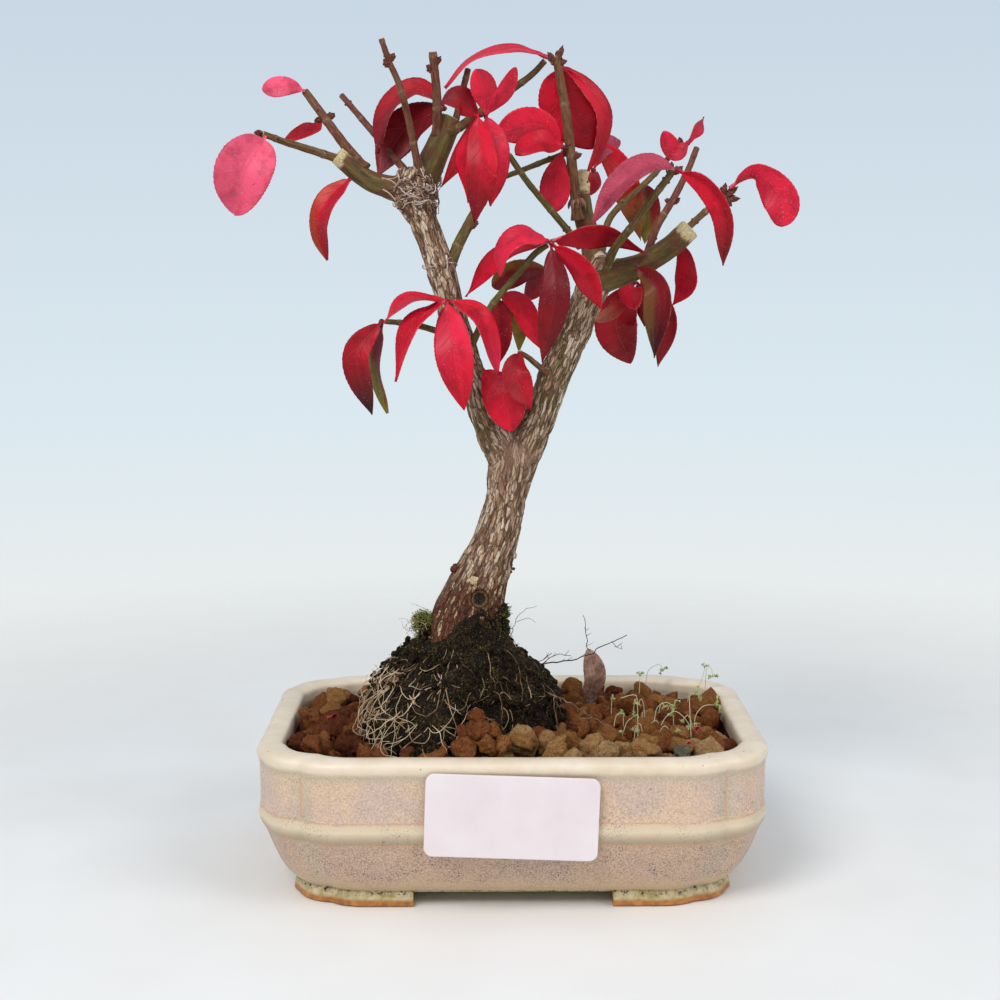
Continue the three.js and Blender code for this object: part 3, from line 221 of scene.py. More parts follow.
# Leaves of each node of the solids, with the slot and the place of the swelling they spring from
LEAVES = {
    "leaf_far_left_tip": ("pink", None, [
        blade("pink", 6.4, [(-61, -1, 235), (-66, -4, 236), (-73, -5, 235)], fold=10, belly=1.4,
              blunt=0.8)]),
    "leaf_curled_left": ("crimson", None, [
        blade("deep", 7, [(-56, -4, 225), (-60, -9, 222), (-66, -12, 220)], 30, fold=30)]),
    "leaf_big_left": ("pink", None, [
        blade("pink", 17, [(-70, -21.3, 220.3), (-76, -25, 210), (-79, -22, 198)], fold=12,
              belly=0.8, blunt=0.9)]),
    "leaf_below_stub": ("crimson", None, [
        blade("crimson", 9, [(-46.8, -9, 209.4), (-52.8, -11, 203.8), (-55.4, -12, 198),
                             (-56, -10, 192.5), (-54.6, -8, 185.5)], 35, fold=20, olive=-0.2,
              tip="deep")]),
    "leaves_upper_left": ("maroon", (-20, -1, 230), [
        blade("deep", 10.5, [(-20, -1, 231), (-27.5, 2, 235.8), (-34, 3, 233), (-38, 1, 227),
                             (-40, -1, 217)], 45, fold=20, tip="dark"),
        blade("dark", 13.5, [(-20, -1, 230), (-32, 6, 224.5), (-40.5, 4, 210.5)], 15,
              tip="maroon")]),
    "leaves_top_cluster": ("crimson", (-9, -14, 227), [
        blade("crimson", 10, [(-10, -15, 227), (-9, -22, 212), (-11, -19, 196)], fold=-20,
              tip="dark"),
        blade("crimson", 7, [(-10, -13, 227), (-14, -15, 216), (-13, -13, 202)], 60),
        blade("bright", 9, [(-8, -13, 227), (-4.5, -16, 217), (-6.2, -14, 201)], -35,
              tip="crimson"),
        blade("deep", 8.5, [(-10, -13, 227), (-15, -18, 230.5), (-20, -21, 230)], 10, belly=1.1,
              tip="maroon", blunt=0.5),
        blade("bright", 8.5, [(-7.5, -14, 227), (-8, -17, 232.5), (-10.2, -20, 239)], fold=25,
              belly=1.3,
              blunt=1),
        blade("bright", 5, [(-7.5, -14, 227), (-2.5, -18, 232.8), (0.8, -20, 239.5)], 20, belly=1.2,
              blunt=1),
        blade("deep", 6, [(-10, -14, 227), (-14, -9, 217), (-21, -6, 207)], 20)]),
    "leaf_long_arch": ("crimson", None, [
        blade("bright", 8, [(11, 9, 246), (1, 5, 248), (-12, 1, 244), (-20, -2, 236)], 60,
              fold=12)]),
    "leaves_behind_top": ("crimson", (14, 3, 243), [
        blade("crimson", 17, [(14, 3, 243), (16.6, 7, 231.3), (24.6, 8, 219)], fold=8, belly=0.85,
              tip="deep", blunt=0.6),
        blade("crimson", 8.4, [(14, 3, 243), (21, 5, 238), (27, 6, 230), (26.6, 6, 221),
                             (23.2, 5, 212.2)], -45, tip="deep")]),
    "leaves_mid_top": ("crimson", (15, 0, 219), [
        blade("crimson", 11, [(15, 1, 220), (7, -3, 225), (-4.7, -4, 222.4)], belly=1.2,
              tip="bright",
              blunt=0.9),
        blade("crimson", 8.5, [(15, 0, 219), (8, -6, 220), (0.8, -9, 216.6)], 20, belly=1.15,
              blunt=0.9),
        blade("crimson", 9.5, [(15, 1, 218), (13.2, 3, 210), (12.7, 3, 200)], fold=8, belly=1.4,
              tip="bright", blunt=0.9)]),
    "leaves_behind_right": ("maroon", (25, 12, 213), [
        blade("rose", 6, [(25, 12, 213), (28, 14, 219.5), (33.2, 17, 222.5)], belly=1.6, blunt=1),
        blade("crimson", 9.4, [(25, 12, 213), (28, 14, 218.5), (33, 16, 213.5), (37, 18.6, 203.5),
                             (40.5, 20, 192)], tip="maroon", olive=0.3),
        blade("bright", 6, [(25, 12, 213), (25, 17, 211), (25, 22, 206)], belly=1.2, blunt=0.8)]),
    "leaves_right_top": ("crimson", (46.5, -21.4, 211), [
        blade("rose", 9.5, [(46, -21.5, 211), (38.6, -23, 212.2), (30, -25, 206.3),
                            (22.5, -22, 196)],
              30, fold=28),
        blade("crimson", 8.8, [(47, -21.5, 211), (54.8, -24, 206), (59.8, -26, 197),
                               (60, -22, 184)],
              50, fold=20, tip="maroon")]),
    "leaves_pink_pair": ("pink", (55, 23, 222), [
        blade("bright", 6, [(55, 22, 222), (50.6, 19, 219), (46.6, 17, 225)], fold=8, belly=1.1,
              blunt=1),
        blade("bright", 5, [(55, 23, 222), (57, 22, 225), (60, 23, 230)], 50, fold=20,
              tip="rose")]),
    "leaf_far_right": ("crimson", None, [
        blade("bright", 11, [(66, 8, 207.4), (71.9, 4, 211.6), (76.3, 2, 209.4), (80.5, 0, 202.8),
                             (80.8, 0, 195.6)], 62, 0, 8, 1.8, blunt=1)]),
    "leaf_right_low": ("crimson", None, [
        blade("crimson", 8.5, [(50.6, -0.6, 191), (52.6, 1, 184), (52.4, 3, 177.5), (48.4, 4, 172)],
              42)]),
    "leaves_middle_cluster": ("crimson", (11, -19.2, 190.5), [
        blade("bright", 9.5, [(10, -19, 191), (2.5, -23, 192.2), (-2.7, -23, 188), (-4, -22, 181)],
              45),
        blade("crimson", 8, [(10.5, -19, 191), (-3, -12, 187), (-14, -6, 175)], 40),
        blade("crimson", 11.5, [(11, -19, 191), (20.3, -12, 193.7), (29.4, -7, 193.3),
                                (39.5, -3, 187.5)], 58, fold=30, tip="deep"),
        blade("dark", 10, [(11, -19, 190), (12, -26, 176), (8.4, -22, 156.4)], fold=-25),
        blade("crimson", 8, [(11.5, -19, 190), (20, -20, 183), (26, -15, 171)], 30, fold=20)]),
    "leaves_back_low": ("maroon", (39, 25, 179), [
        blade("deep", 14.5, [(39, 26, 179), (34, 34, 166), (39, 34, 153)], fold=12, belly=1.1,
              tip="maroon", blunt=0.5),
        blade("dark", 8, [(40, 25, 179), (43, 30, 174), (43, 32, 165)], 20),
        blade("crimson", 7.5, [(38, 24, 179), (37, 18, 177), (38, 13, 171)], belly=1.2, blunt=1),
        blade("deep", 5, [(38, 24, 179), (33, 23, 171), (26.5, 20, 167)], belly=1.1, tip="pale",
              blunt=1)]),
    "leaves_right_dark": ("maroon", (37, -4.6, 183), [
        blade("maroon", 10, [(37, -4.8, 184), (43, -12, 176), (42, -9, 157)], 30, fold=28,
              tip="dusky", olive=-0.25),
        blade("deep", 8, [(38, -4.8, 183), (46, -2, 168), (44, -1, 154)], 20, tip="maroon")]),
    "leaf_olive_behind": ("olive", None, [
        blade("maroon", 8, [(41.5, 19, 209.6), (43, 23, 202.5), (42, 23, 191)], olive=1)]),
    "leaves_dark_behind": ("maroon", (12, 14, 183), [
        blade("maroon", 8.5, [(12, 13, 183), (3, 15, 182.4), (-6, 17, 178)], belly=1.3, olive=-0.5,
              blunt=1),
        blade("deep", 7, [(12, 14, 183), (8, 20, 178), (4, 24, 173.5)], 20, blunt=0.7)]),
    "leaves_inner_left": ("crimson", (-4, -11, 175), [
        blade("crimson", 8, [(-4, -11, 176), (3, -9, 172), (8, -10, 160)], 20),
        blade("maroon", 6, [(-3, -10, 175), (2, -1, 168), (2.2, 0, 158)], olive=0.9),
        blade("deep", 8.5, [(-4, -10, 175), (-3.8, -8, 167.5), (-4.6, -8, 154)])]),
    "leaves_front_cluster": ("crimson", (-19, -19, 174), [
        blade("bright", 11.5, [(-19, -19, 174), (-17, -28, 160), (-14, -27, 143)], fold=-15,
              tip="crimson", blunt=0.3),
        blade("crimson", 8, [(-20, -18, 174), (-29.5, -22, 174.6), (-37, -25, 168)], 60,
              tip="bright"),
        blade("crimson", 8, [(-19.5, -19.5, 174), (-29, -25, 167), (-34, -24, 151)], 50),
        blade("crimson", 9, [(-18, -19, 174), (-9, -21, 169), (-4, -19, 153)], -45, tip="bright")]),
    "leaves_left_pair": ("maroon", (-38, -17, 168), [
        blade("deep", 9, [(-38, -17, 168), (-45, -21, 158), (-41, -19, 141)], 15, fold=20,
              tip="dusky"),
        blade("maroon", 8, [(-38, -16, 168), (-40, -16, 155), (-37, -15, 141)], 55, olive=0.9)]),
    "leaf_fork_low": ("crimson", None, [
        blade("crimson", 12.5, [(-8.6, -12.2, 154), (-3, -17, 146.5), (0, -17, 136)], fold=12,
              belly=1.15, blunt=0.7)]),
    "leaf_fork_high": ("crimson", None, [
        blade("deep", 9, [(2, -15, 159), (0.8, -19, 152.5), (5.4, -20, 142.4)], -10)]),
}

# Seedlings among the granules at the right: points of the stem, and length of its leaves
SEEDLINGS = [
    ([(37.3, -23, 45), (36.9, -23, 56.9), (35.4, -23, 58.1), (32.1, -23, 57.2)], 0),
    ([(41.6, 20, 47), (41.9, 20, 53.5)], 1.5),
    ([(45.5, 38, 46), (46.4, 38, 50.5), (49.8, 38, 52.6), (51.2, 38, 50.7)], 2),
    ([(43.6, -7.8, 45), (44.5, -7.8, 50), (47.2, -8.2, 51.9), (49.4, -8.2, 50.7)], 3),
    ([(45.5, -10.1, 45), (47, -10.1, 47.8), (49.7, -10.5, 49.7), (52.5, -10.8, 47.8),
      (54.4, -11, 45)], 3.2),
    ([(53.1, -23.1, 45), (52.6, -23.1, 53.3), (52.6, -23.1, 58.1), (54.3, -23.1, 58.4)], 3),
    ([(55.2, -13.5, 45), (55.7, -13.5, 49.4), (58.1, -13.5, 52.2), (61.7, -13.5, 52.5)], 3.5),
    ([(60.8, 28, 45), (63, 28, 50.1), (63.9, 28, 54.1)], 1.5),
    ([(64.4, 30, 45), (64.7, 30, 52.6), (66.2, 30, 53.4), (66.8, 30, 50.5)], 2),
    ([(33.3, -17.6, 45), (34.5, -17.6, 48.4), (36.6, -17.6, 50.2)], 2),
    ([(31.1, -11.1, 45), (31.7, -11.1, 48.5), (33.2, -11.1, 49.2)], 1.5),
]

# Finer seedlings that grow among these
FINE_SEEDLINGS = 18

# Roots that leave the ball over the granules, and a dead twig caught in it: points and radii
LOOSE_ROOTS = [
    ([(0, -16, 60), (13, -20, 57), (21, -27, 54), (28, -33, 51)], 0.7, 0.3),
    ([(-0.6, -9, 72), (1, -8.5, 76.5), (3.6, -8, 80.6), (7.6, -6, 81.5)], 0.34, 0.14),
    ([(1.4, -8.4, 77), (4.4, -7.4, 78), (7.2, -7, 76.6)], 0.24, 0.12),
    ([(-10, -28, 62), (-4, -31, 60), (-3, -32, 52)], 0.4, 0.2),
]
DEAD_TWIG = [
    ([(7.6, 0, 62), (10.2, 1, 61.6), (16, 2, 62.6), (22.3, 2, 63.7), (28.5, 2, 67.2),
      (31.6, 2, 68.8),
      (35.9, 2, 70.7)], 0.7, 0.3),
    ([(24.5, 2, 65.6), (22.9, 2, 70.7), (23.2, 2, 73.2), (22.2, 2, 77)], 0.4, 0.2),
    ([(31.2, 2, 68.6), (32.4, 2, 67.4), (34.4, 2, 66.2)], 0.3, 0.15),
    ([(8, 0, 62.6), (10, 0, 63.6), (12.6, 0, 65.5)], 0.35, 0.2),
    ([(9, 0, 61.5), (14, 1, 64.6), (18.5, 1, 64.4)], 0.4, 0.2),
]

# A bare knot on the trunk: middle and radius, and the distance at which nothing of it is left
KNOT, KNOT_RADIUS, KNOT_FAR = (-9.6, -18, 86.1), 3.6, 20

# Granules given one by one: middle, size and tone; a tone above 1 is that of a greenish stone
SINGLE_GRANULES = [
    ((48.4, -40, 45.2), 2.9, 1.5), ((-62.5, 0, 44.5), 3.6, 0.5), ((-56, 22, 46), 3.3, 0.75),
    ((-46, 26, 46.4), 3.1, 0.7), ((-58, -30, 44.4), 3.4, 0.45), ((37, -38, 45.6), 3.7, 0.8),
    ((4, -36, 47.4), 4.4, 0.72), ((12, -39, 46), 3, 0.78), ((-13.5, -40.4, 47.4), 3.1, 0.5),
    ((-8, -40.2, 47.6), 3, 0.56), ((-3.4, -39.8, 47.8), 2.8, 0.62), ((-11.4, -38.4, 51.6), 3, 0.45),
    ((-6.4, -37.6, 51.4), 2.6, 0.52), ((-10.6, -36.6, 55.2), 2.3, 0.42), ((-14.8, -39, 51), 2, 0.4),
]

# The dry leaf in the granules, and the red flakes of leaf on them by their foot and size
DRY_LEAF = [(26, 22, 39), (26, 21.5, 47), (27, 20, 53), (25, 21, 62)]
FLAKES = [
    ((-56, -12, 48.2), 3.2), ((53, -27, 48.4), 3), ((49, -39, 47.4), 2.4), ((-33, -36, 48.4), 2),
]

# The twig that ends in a pale cap without bark, by its number in TWIGS, and the cap's heights
CAPPED_TWIG, CAP_FROM, CAP_TO = 8, 205.5, 207

# Stubs that are peeled to pale wood round their end, by their number in THICK_STEMS
PEELED_STUBS = (3, 6)

# How many twigs from the first on bear small buds, and how far apart their joints are
BUDDING_TWIGS, JOINT_PITCH = 17, 15

# Share of a leaf that is its stalk
STALK_SHARE = 0.05

random = np.random.default_rng(SEED)


def linear(code):
    """A colour such as "c0182c" as linear red, green, blue and alpha"""
    parts = [int(code[i:i + 2], 16) / 255 for i in (0, 2, 4)]
    return [p / 12.92 if p < 0.04 else ((p + 0.055) / 1.055) ** 2.4 for p in parts] + [1]


def smoothstep(low, high, value):
    share = np.clip((value - low) / (high - low), 0, 1)
    return share * share * (3 - 2 * share)


def unit(vectors):
    return vectors / np.maximum(np.linalg.norm(vectors, axis=-1, keepdims=True), 1e-9)


def lattice(cells, seed):
    """A repeatable random value between 0 and 1 for each cell"""
    x, y, z = cells.T
    mixed = x * 73856093 ^ y * 19349663 ^ z * 83492791 ^ seed * 2654435
    mixed = (mixed ^ (mixed >> 13)) * 1274126177 & 0x7fffffff
    return ((mixed ^ (mixed >> 15)) & 0xffff) / 65535


def bumps(points, size, layers=1, seed=0):
    """Smooth random values, mostly between -1 and 1, with finer and weaker layers added"""
    total = np.zeros(len(points))
    for layer in range(layers):
        scaled = points / size * 2 ** layer + 17.3 * layer
        cell = np.floor(scaled).astype(np.int64)
        share = scaled - cell
        share = share * share * (3 - 2 * share)
        for corner in np.ndindex(2, 2, 2):
            weight = np.prod(np.where(corner, share, 1 - share), axis=1)
            total += weight * (2 * lattice(cell + corner, seed + layer) - 1) / 2 ** layer
    return total


def smooth_path(points, step):
    """Points about one step apart on the smooth curve through some, and their places in the list"""
    points = np.array(points, float)
    ends = np.vstack([2 * points[0] - points[1], points, 2 * points[-1] - points[-2]])
    t = np.linspace(0, len(points) - 1, 60 * (len(points) - 1) + 1)
    i = np.minimum(t.astype(int), len(points) - 2)
    u = (t - i)[:, None]
    a, b, c, d = ends[i], ends[i + 1], ends[i + 2], ends[i + 3]
    curve = b + 0.5 * u * (c - a + u * (2 * a - 5 * b + 4 * c - d + u * (3 * (b - c) + d - a)))
    length = np.concatenate([[0], np.cumsum(np.linalg.norm(np.diff(curve, axis=0), axis=1))])
    wanted = np.linspace(0, length[-1], max(2, round(length[-1] / step)) + 1)
    places = np.stack([np.interp(wanted, length, curve[:, axis]) for axis in range(3)], 1)
    return places, np.interp(wanted, length, t)


def length_so_far(path):
    """How far along a path of even steps each point is"""
    return np.linspace(0, len(path) - 1, len(path)) * np.linalg.norm(path[1] - path[0])


def directions(path):
    """Along a path and twice across it, carried on without a twist"""
    along = unit(np.gradient(path, axis=0))
    start = np.cross(along[0], [1, 0, 0] if abs(along[0][2]) > 0.9 else [0, 0, 1])
    first = [unit(start)]
    for direction in along[1:]:
        first.append(unit(first[-1] - direction * (first[-1] @ direction)))
    first = np.array(first)
    return along, first, np.cross(along, first)


def skin(rings, sides):
    """Faces between rings of corners, all facing outwards"""
    ring = np.arange(rings - 1)[:, None] * sides
    side = np.arange(sides)[None]
    a = ring + side
    b = ring + (side + 1) % sides
    return np.stack([a, b, b + sides, a + sides], -1).reshape(-1, 4).tolist()


def loft(rings):
    """Closed solid through rings of corners"""
    sides = len(rings[0])
    last = (len(rings) - 1) * sides
    caps = [list(range(sides))[::-1], list(range(last, last + sides))]
    return np.vstack(rings), skin(len(rings), sides) + caps


def tube(path, radii, sides):
    _, one, two = directions(path)
    angle = np.linspace(0, 2 * np.pi, sides, endpoint=False)[:, None]
    rings = np.cos(angle) * one[:, None] + np.sin(angle) * two[:, None]
    return loft(path[:, None] + np.asarray(radii)[:, None, None] * rings)


def tapered(points, first, last, step, sides):
    path, _ = smooth_path(points, step)
    return tube(path, np.linspace(first, last, len(path)), sides)


def rounded_ball(level):
    """Corners and faces of a ball of triangles with radius 1"""
    shape = bmesh.new()
    bmesh.ops.create_icosphere(shape, subdivisions=level, radius=1)
    corners = np.array([corner.co for corner in shape.verts])
    faces = [[corner.index for corner in face.verts] for face in shape.faces]
    shape.free()
    return corners, faces


class Heap:
    """Many shapes gathered into one mesh, with values at their corners"""

    def __init__(self):
        self.corners = []
        self.faces = []
        self.values = {}
        self.count = 0

    def add(self, shape, **values):
        corners, faces = shape
        self.corners.append(corners)
        self.faces.extend([[corner + self.count for corner in face] for face in faces])
        self.count += len(corners)
        for name, value in values.items():
            value = np.asarray(value, float)
            if value.ndim == 0 or value.shape[0] != len(corners):
                value = np.repeat(value[None], len(corners), axis=0)
            self.values.setdefault(name, []).append(value)

    def piece(self, name, material, slot, *nodes, sharp=None):
        values = {key: np.concatenate(value) for key, value in self.values.items()}
        shape = np.concatenate(self.corners), self.faces
        return make_piece(name, shape, material, nodes, values, sharp)


def put_in_scene(name, data):
    placed = bpy.data.objects.new(name, data)
    bpy.context.scene.collection.objects.link(placed)
    return placed


def make_mesh(name, shape, scale=MM):
    corners, faces = shape
    mesh = bpy.data.meshes.new(name)
    mesh.from_pydata((np.asarray(corners) * scale).tolist(), [], faces)
    return mesh


def make_piece(name, shape, material, nodes=(), values=None, sharp=None):
    """A shape becomes a visible piece that stands for some nodes of the solids"""
    mesh = make_mesh(name, shape)
    kinds = {1: ("FLOAT", "value"), 3: ("FLOAT_VECTOR", "vector"), 4: ("FLOAT_COLOR", "color")}
    for key, value in (values or {}).items():
        kind, field = kinds[value.size // len(value)]
        attribute = mesh.attributes.new(key, kind, "POINT")
        attribute.data.foreach_set(field, value.astype(np.float32).ravel())
    mesh.shade_smooth()
    if sharp:
        mesh.set_sharp_from_angle(angle=math.radians(sharp))
    mesh.materials.append(material)
    piece = put_in_scene(name, mesh)
    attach(piece, "root")
    if nodes:
        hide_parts(*nodes)
    return piece


def after_modifiers(shape, *modifiers):
    """A shape after Blender's modifiers, each given as its kind and its settings"""
    worked = put_in_scene("worked", make_mesh("worked", shape, 1))
    for kind, settings in modifiers:
        modifier = worked.modifiers.new(kind, kind)
        for key, value in settings.items():
            setattr(modifier, key, value)
    bpy.context.view_layer.update()
    done = worked.evaluated_get(bpy.context.evaluated_depsgraph_get()).to_mesh()
    corners = np.array([corner.co for corner in done.vertices])
    normals = np.array([corner.normal for corner in done.vertices])
    faces = [list(face.vertices) for face in done.polygons]
    bpy.data.objects.remove(worked)
    return (corners, faces), normals


class Value:
    """What a node gives, so that sums and products with it can be written as such"""

    def __init__(self, nodes, socket):
        self.nodes = nodes
        self.socket = socket

    def __add__(self, other):
        return self.nodes.maths("ADD", self, other)

    def __radd__(self, other):
        return self.nodes.maths("ADD", other, self)

    def __sub__(self, other):
        return self.nodes.maths("SUBTRACT", self, other)

    def __mul__(self, other):
        return self.nodes.maths("MULTIPLY", self, other)

    def __truediv__(self, other):
        return self.nodes.maths("DIVIDE", self, other)


class Nodes:
    """The nodes of a material or a backdrop, with a short call for each kind"""

    def __init__(self, tree):
        self.tree = tree

    def node(self, kind, output, settings=(), **inputs):
        node = self.tree.nodes.new(kind)
        for key, value in dict(settings).items():
            setattr(node, key, value)
        for key, value in inputs.items():
            socket = node.inputs[int(key[1:])] if key[1:].isdigit() else node.inputs[key]
            self.feed(socket, value)
        return Value(self, node.outputs[output])

    def feed(self, socket, value):
        if isinstance(value, Value):
            self.tree.links.new(value.socket, socket)
        else:
            socket.default_value = value

    def place(self):
        return self.node("ShaderNodeTexCoord", "Object")

    def attribute(self, name, output="Fac"):
        return self.node("ShaderNodeAttribute", output, {"attribute_name": name})

    def part(self, vector, axis):
        return self.node("ShaderNodeSeparateXYZ", axis, Vector=vector)

    def maths(self, operation, a, b=0.0):
        return self.node("ShaderNodeMath", 0, {"operation": operation}, i0=a, i1=b)

    def stretch(self, vector, factors):
        return self.node("ShaderNodeVectorMath", 0, {"operation": "MULTIPLY"}, i0=vector,
                         i1=factors)

    def noise(self, size, detail=3, vector=None, rough=0.55):
        """Size is that of one blotch in millimetres; a vector that is given is in millimetres"""
        scale = 1 / size if vector else 1 / (size * MM)
        return self.node("ShaderNodeTexNoise", 0, Vector=vector or self.place(), Scale=scale,
                         Detail=detail, Roughness=rough)

    def cells(self, size, vector=None, feature="F1"):
        scale = 1 / size if vector else 1 / (size * MM)
        return self.node("ShaderNodeTexVoronoi", "Distance", {"feature": feature},
                         Vector=vector or self.place(), Scale=scale)

    def chances(self, size, vector):
        """A random value for each cell of the same pattern"""
        colour = self.node("ShaderNodeTexVoronoi", "Color", Vector=vector, Scale=1 / size)
        return self.part(colour, "X")

    def shifted(self, vector, size, amount):
        """A vector in millimetres, pushed about at random"""
        push = self.node("ShaderNodeTexNoise", 1, Vector=vector, Scale=1 / size, Detail=2)
        half = (-amount / 2, -amount / 2, -amount / 2)
        return self.node("ShaderNodeVectorMath", 0, {"operation": "ADD"}, i0=vector,
                         i1=self.node("ShaderNodeVectorMath", 0, {"operation": "MULTIPLY_ADD"},
                                      i0=push, i1=(amount, amount, amount), i2=half))

    def step(self, value, low, high):
        """From 0 to 1 while the value goes from low to high"""
        return self.node("ShaderNodeMapRange", 0, {"interpolation_type": "SMOOTHSTEP"}, Value=value,
                         i1=low, i2=high, i3=0.0, i4=1.0)

    def ramp(self, value, *stops):
        """Colours by a value, as pairs of value and colour code"""
        node = self.tree.nodes.new("ShaderNodeValToRGB")
        self.feed(node.inputs[0], value)
        points = node.color_ramp.elements
        while len(points) < len(stops):
            points.new(0.5)
        for point, (at, code) in zip(points, stops):
            point.position = at
            point.color = linear(code)
        return Value(self, node.outputs[0])

    def mix(self, share, a, b, blend="MIX"):
        """Colour a, with a share of colour b over it"""
        a, b = [linear(colour) if isinstance(colour, str) else colour for colour in (a, b)]
        return self.node("ShaderNodeMix", 2, {"data_type": "RGBA", "blend_type": blend},
                         i0=share, i6=a, i7=b)


class Shader(Nodes):
    """A material, from its name, roughness and other settings to its colour and relief"""

    def __init__(self, name, roughness, **settings):
        self.material = bpy.data.materials.new(name)
        self.material.use_nodes = True
        super().__init__(self.material.node_tree)
        self.surface = self.tree.nodes["Principled BSDF"]
        self.surface.inputs["Roughness"].default_value = roughness
        for key, value in settings.items():
            self.surface.inputs[key.replace("_", " ")].default_value = value

    def finish(self, colour, height=None, distance=0.2, strength=0.7):
        """Ends the material with its colour and relief, the relief's depth in millimetres"""
        self.feed(self.surface.inputs["Base Color"], colour)
        if height:
            normal = self.node("ShaderNodeBump", 0, Strength=strength, Distance=distance * MM,
                               Height=height)
            self.feed(self.surface.inputs["Normal"], normal)
        return self.material


def glaze_shader():
    """Speckled cream glaze that breaks to orange along the edges and is bare clay under the feet"""
    s = Shader("cream_glaze", 0.42, Coat_Weight=0.08, Coat_Roughness=0.3)
    wavy = (s.noise(11, 2) - 0.5) * 0.8
    height = s.part(s.place(), "Z") / MM + wavy
    crease = s.attribute("from_crease")
    salt = s.noise(0.55, 3, rough=0.78)
    blotch = s.noise(16, 3)
    body = s.ramp(salt, (0.32, "bd9c82"), (0.48, "d6b496"), (0.62, "e6cab0"), (0.75, "d8ab88"))
    pink = s.ramp(salt, (0.32, "b1978a"), (0.5, "cfb19e"), (0.66, "dfc7b6"))
    colour = s.mix(s.step(blotch, 0.42, 0.62), body, pink)
    bowl = s.ramp(salt, (0.34, "9c8070"), (0.5, "c3a288"), (0.64, "d2b598"))
    colour = s.mix(s.step(height, BELT_LOW + 0.5, BELT_LOW - 1) * 0.75, colour, bowl)
    colour = s.mix(s.step(height, 12, 6.5) * 0.5, colour, "cdb286")
    # Painted shade: a greyish green just below the rim's overhang and in the creases where the wall
    # folds in
    green = s.ramp(salt, (0.35, "b3a48a"), (0.65, "cdbfa4"))
    shade_under_rim = s.step(height, 38.8, 41.6) * 0.75
    shade_in_creases = s.step(crease, 6, 0.8) * 0.5
    colour = s.mix(s.maths("MAXIMUM", shade_under_rim, shade_in_creases), colour, green)
    # Painted light and shade on the belt: darkest at its foot where it turns down, lightest near
    # its top
    belt_light_and_shade = s.ramp(s.step(height, BELT_LOW, BELT_HIGH), (0.0, "b69f82"), (0.35, "ccb698"),
                  (0.75, "e2cfb0"), (1.0, "dac3a2"))
    over_belt = s.step(height, BELT_LOW - 0.6, BELT_LOW + 0.3)
    under_belt = s.step(height, BELT_HIGH + 0.3, BELT_HIGH - 0.5)
    colour = s.mix(over_belt * under_belt, colour, belt_light_and_shade)
    # Painted highlight: the rim's roll and top are a lighter cream
    rim_highlight = s.ramp(s.noise(7, 2), (0.3, "e6d0b2"), (0.7, "f1dfc6"))
    colour = s.mix(s.step(height, 41.4, 43.4), colour, rim_highlight)
    patches = s.step(s.noise(8, 3, rough=0.6), 0.42, 0.6)
    low = s.step(height, BELT_LOW + 3.2, BELT_LOW - 1.5) * s.step(height, 6, 10)
    many = s.maths("MAXIMUM", low * (0.6 + patches), patches * (s.step(height, 37, 30) * 0.8))
    grain = s.step(s.noise(0.42, 2, rough=0.6), 0.55, 0.62) * (many * 0.62)
    colour = s.mix(grain, colour, "66515a")
    rare = s.step(s.cells(3.4), 0.11, 0.05) * s.step(s.noise(4, 1), 0.52, 0.6)
    colour = s.mix(rare * 0.7, colour, "4a3626")
    for middle, wide, strength in ((BELT_HIGH + 0.4, 0.36, 0.55), (BELT_LOW - 0.5, 0.34, 0.6),
                                   (BELT_LOW - 2, 0.25, 0.35), (42, 0.25, 0.15)):
        away = s.maths("ABSOLUTE", height - middle)
        line = s.step(away, wide, wide * 0.2) * s.step(s.noise(6, 3), 0.3, 0.5)
        colour = s.mix(line * strength, colour, "cf9468")
    on_panel = s.step(height, 28.2, 29.2) * s.step(height, 41.6, 40)
    on_bowl = s.step(height, 20.5, 19) * 0.3
    down = s.step(s.maths("ABSOLUTE", crease), 0.7, 0.15) * (on_panel + on_bowl)
    colour = s.mix(down * 0.5, colour, "d2986a")
    foot = s.step(height, 5.6, 4.8)
    cream = s.ramp(s.noise(2.2, 3), (0.35, "a39258"), (0.5, "bfac80"), (0.7, "d0c09c"))
    colour = s.mix(foot, colour, cream)
    marks = s.step(s.noise(0.9, 3, rough=0.65), 0.54, 0.62) * (s.step(height, 2.6, 3.8) * foot)
    colour = s.mix(marks, colour, "2c2a1e")
    bare = s.step(height, 2.7, 1.5)
    clay = s.ramp(s.noise(2.4, 3), (0.3, "8f5520"), (0.55, "b47431"), (0.8, "c48a44"))
    colour = s.mix(bare, colour, clay)
    relief = s.noise(3.5, 2) + salt * 0.18
    return s.finish(colour, relief, 0.22, 0.45)


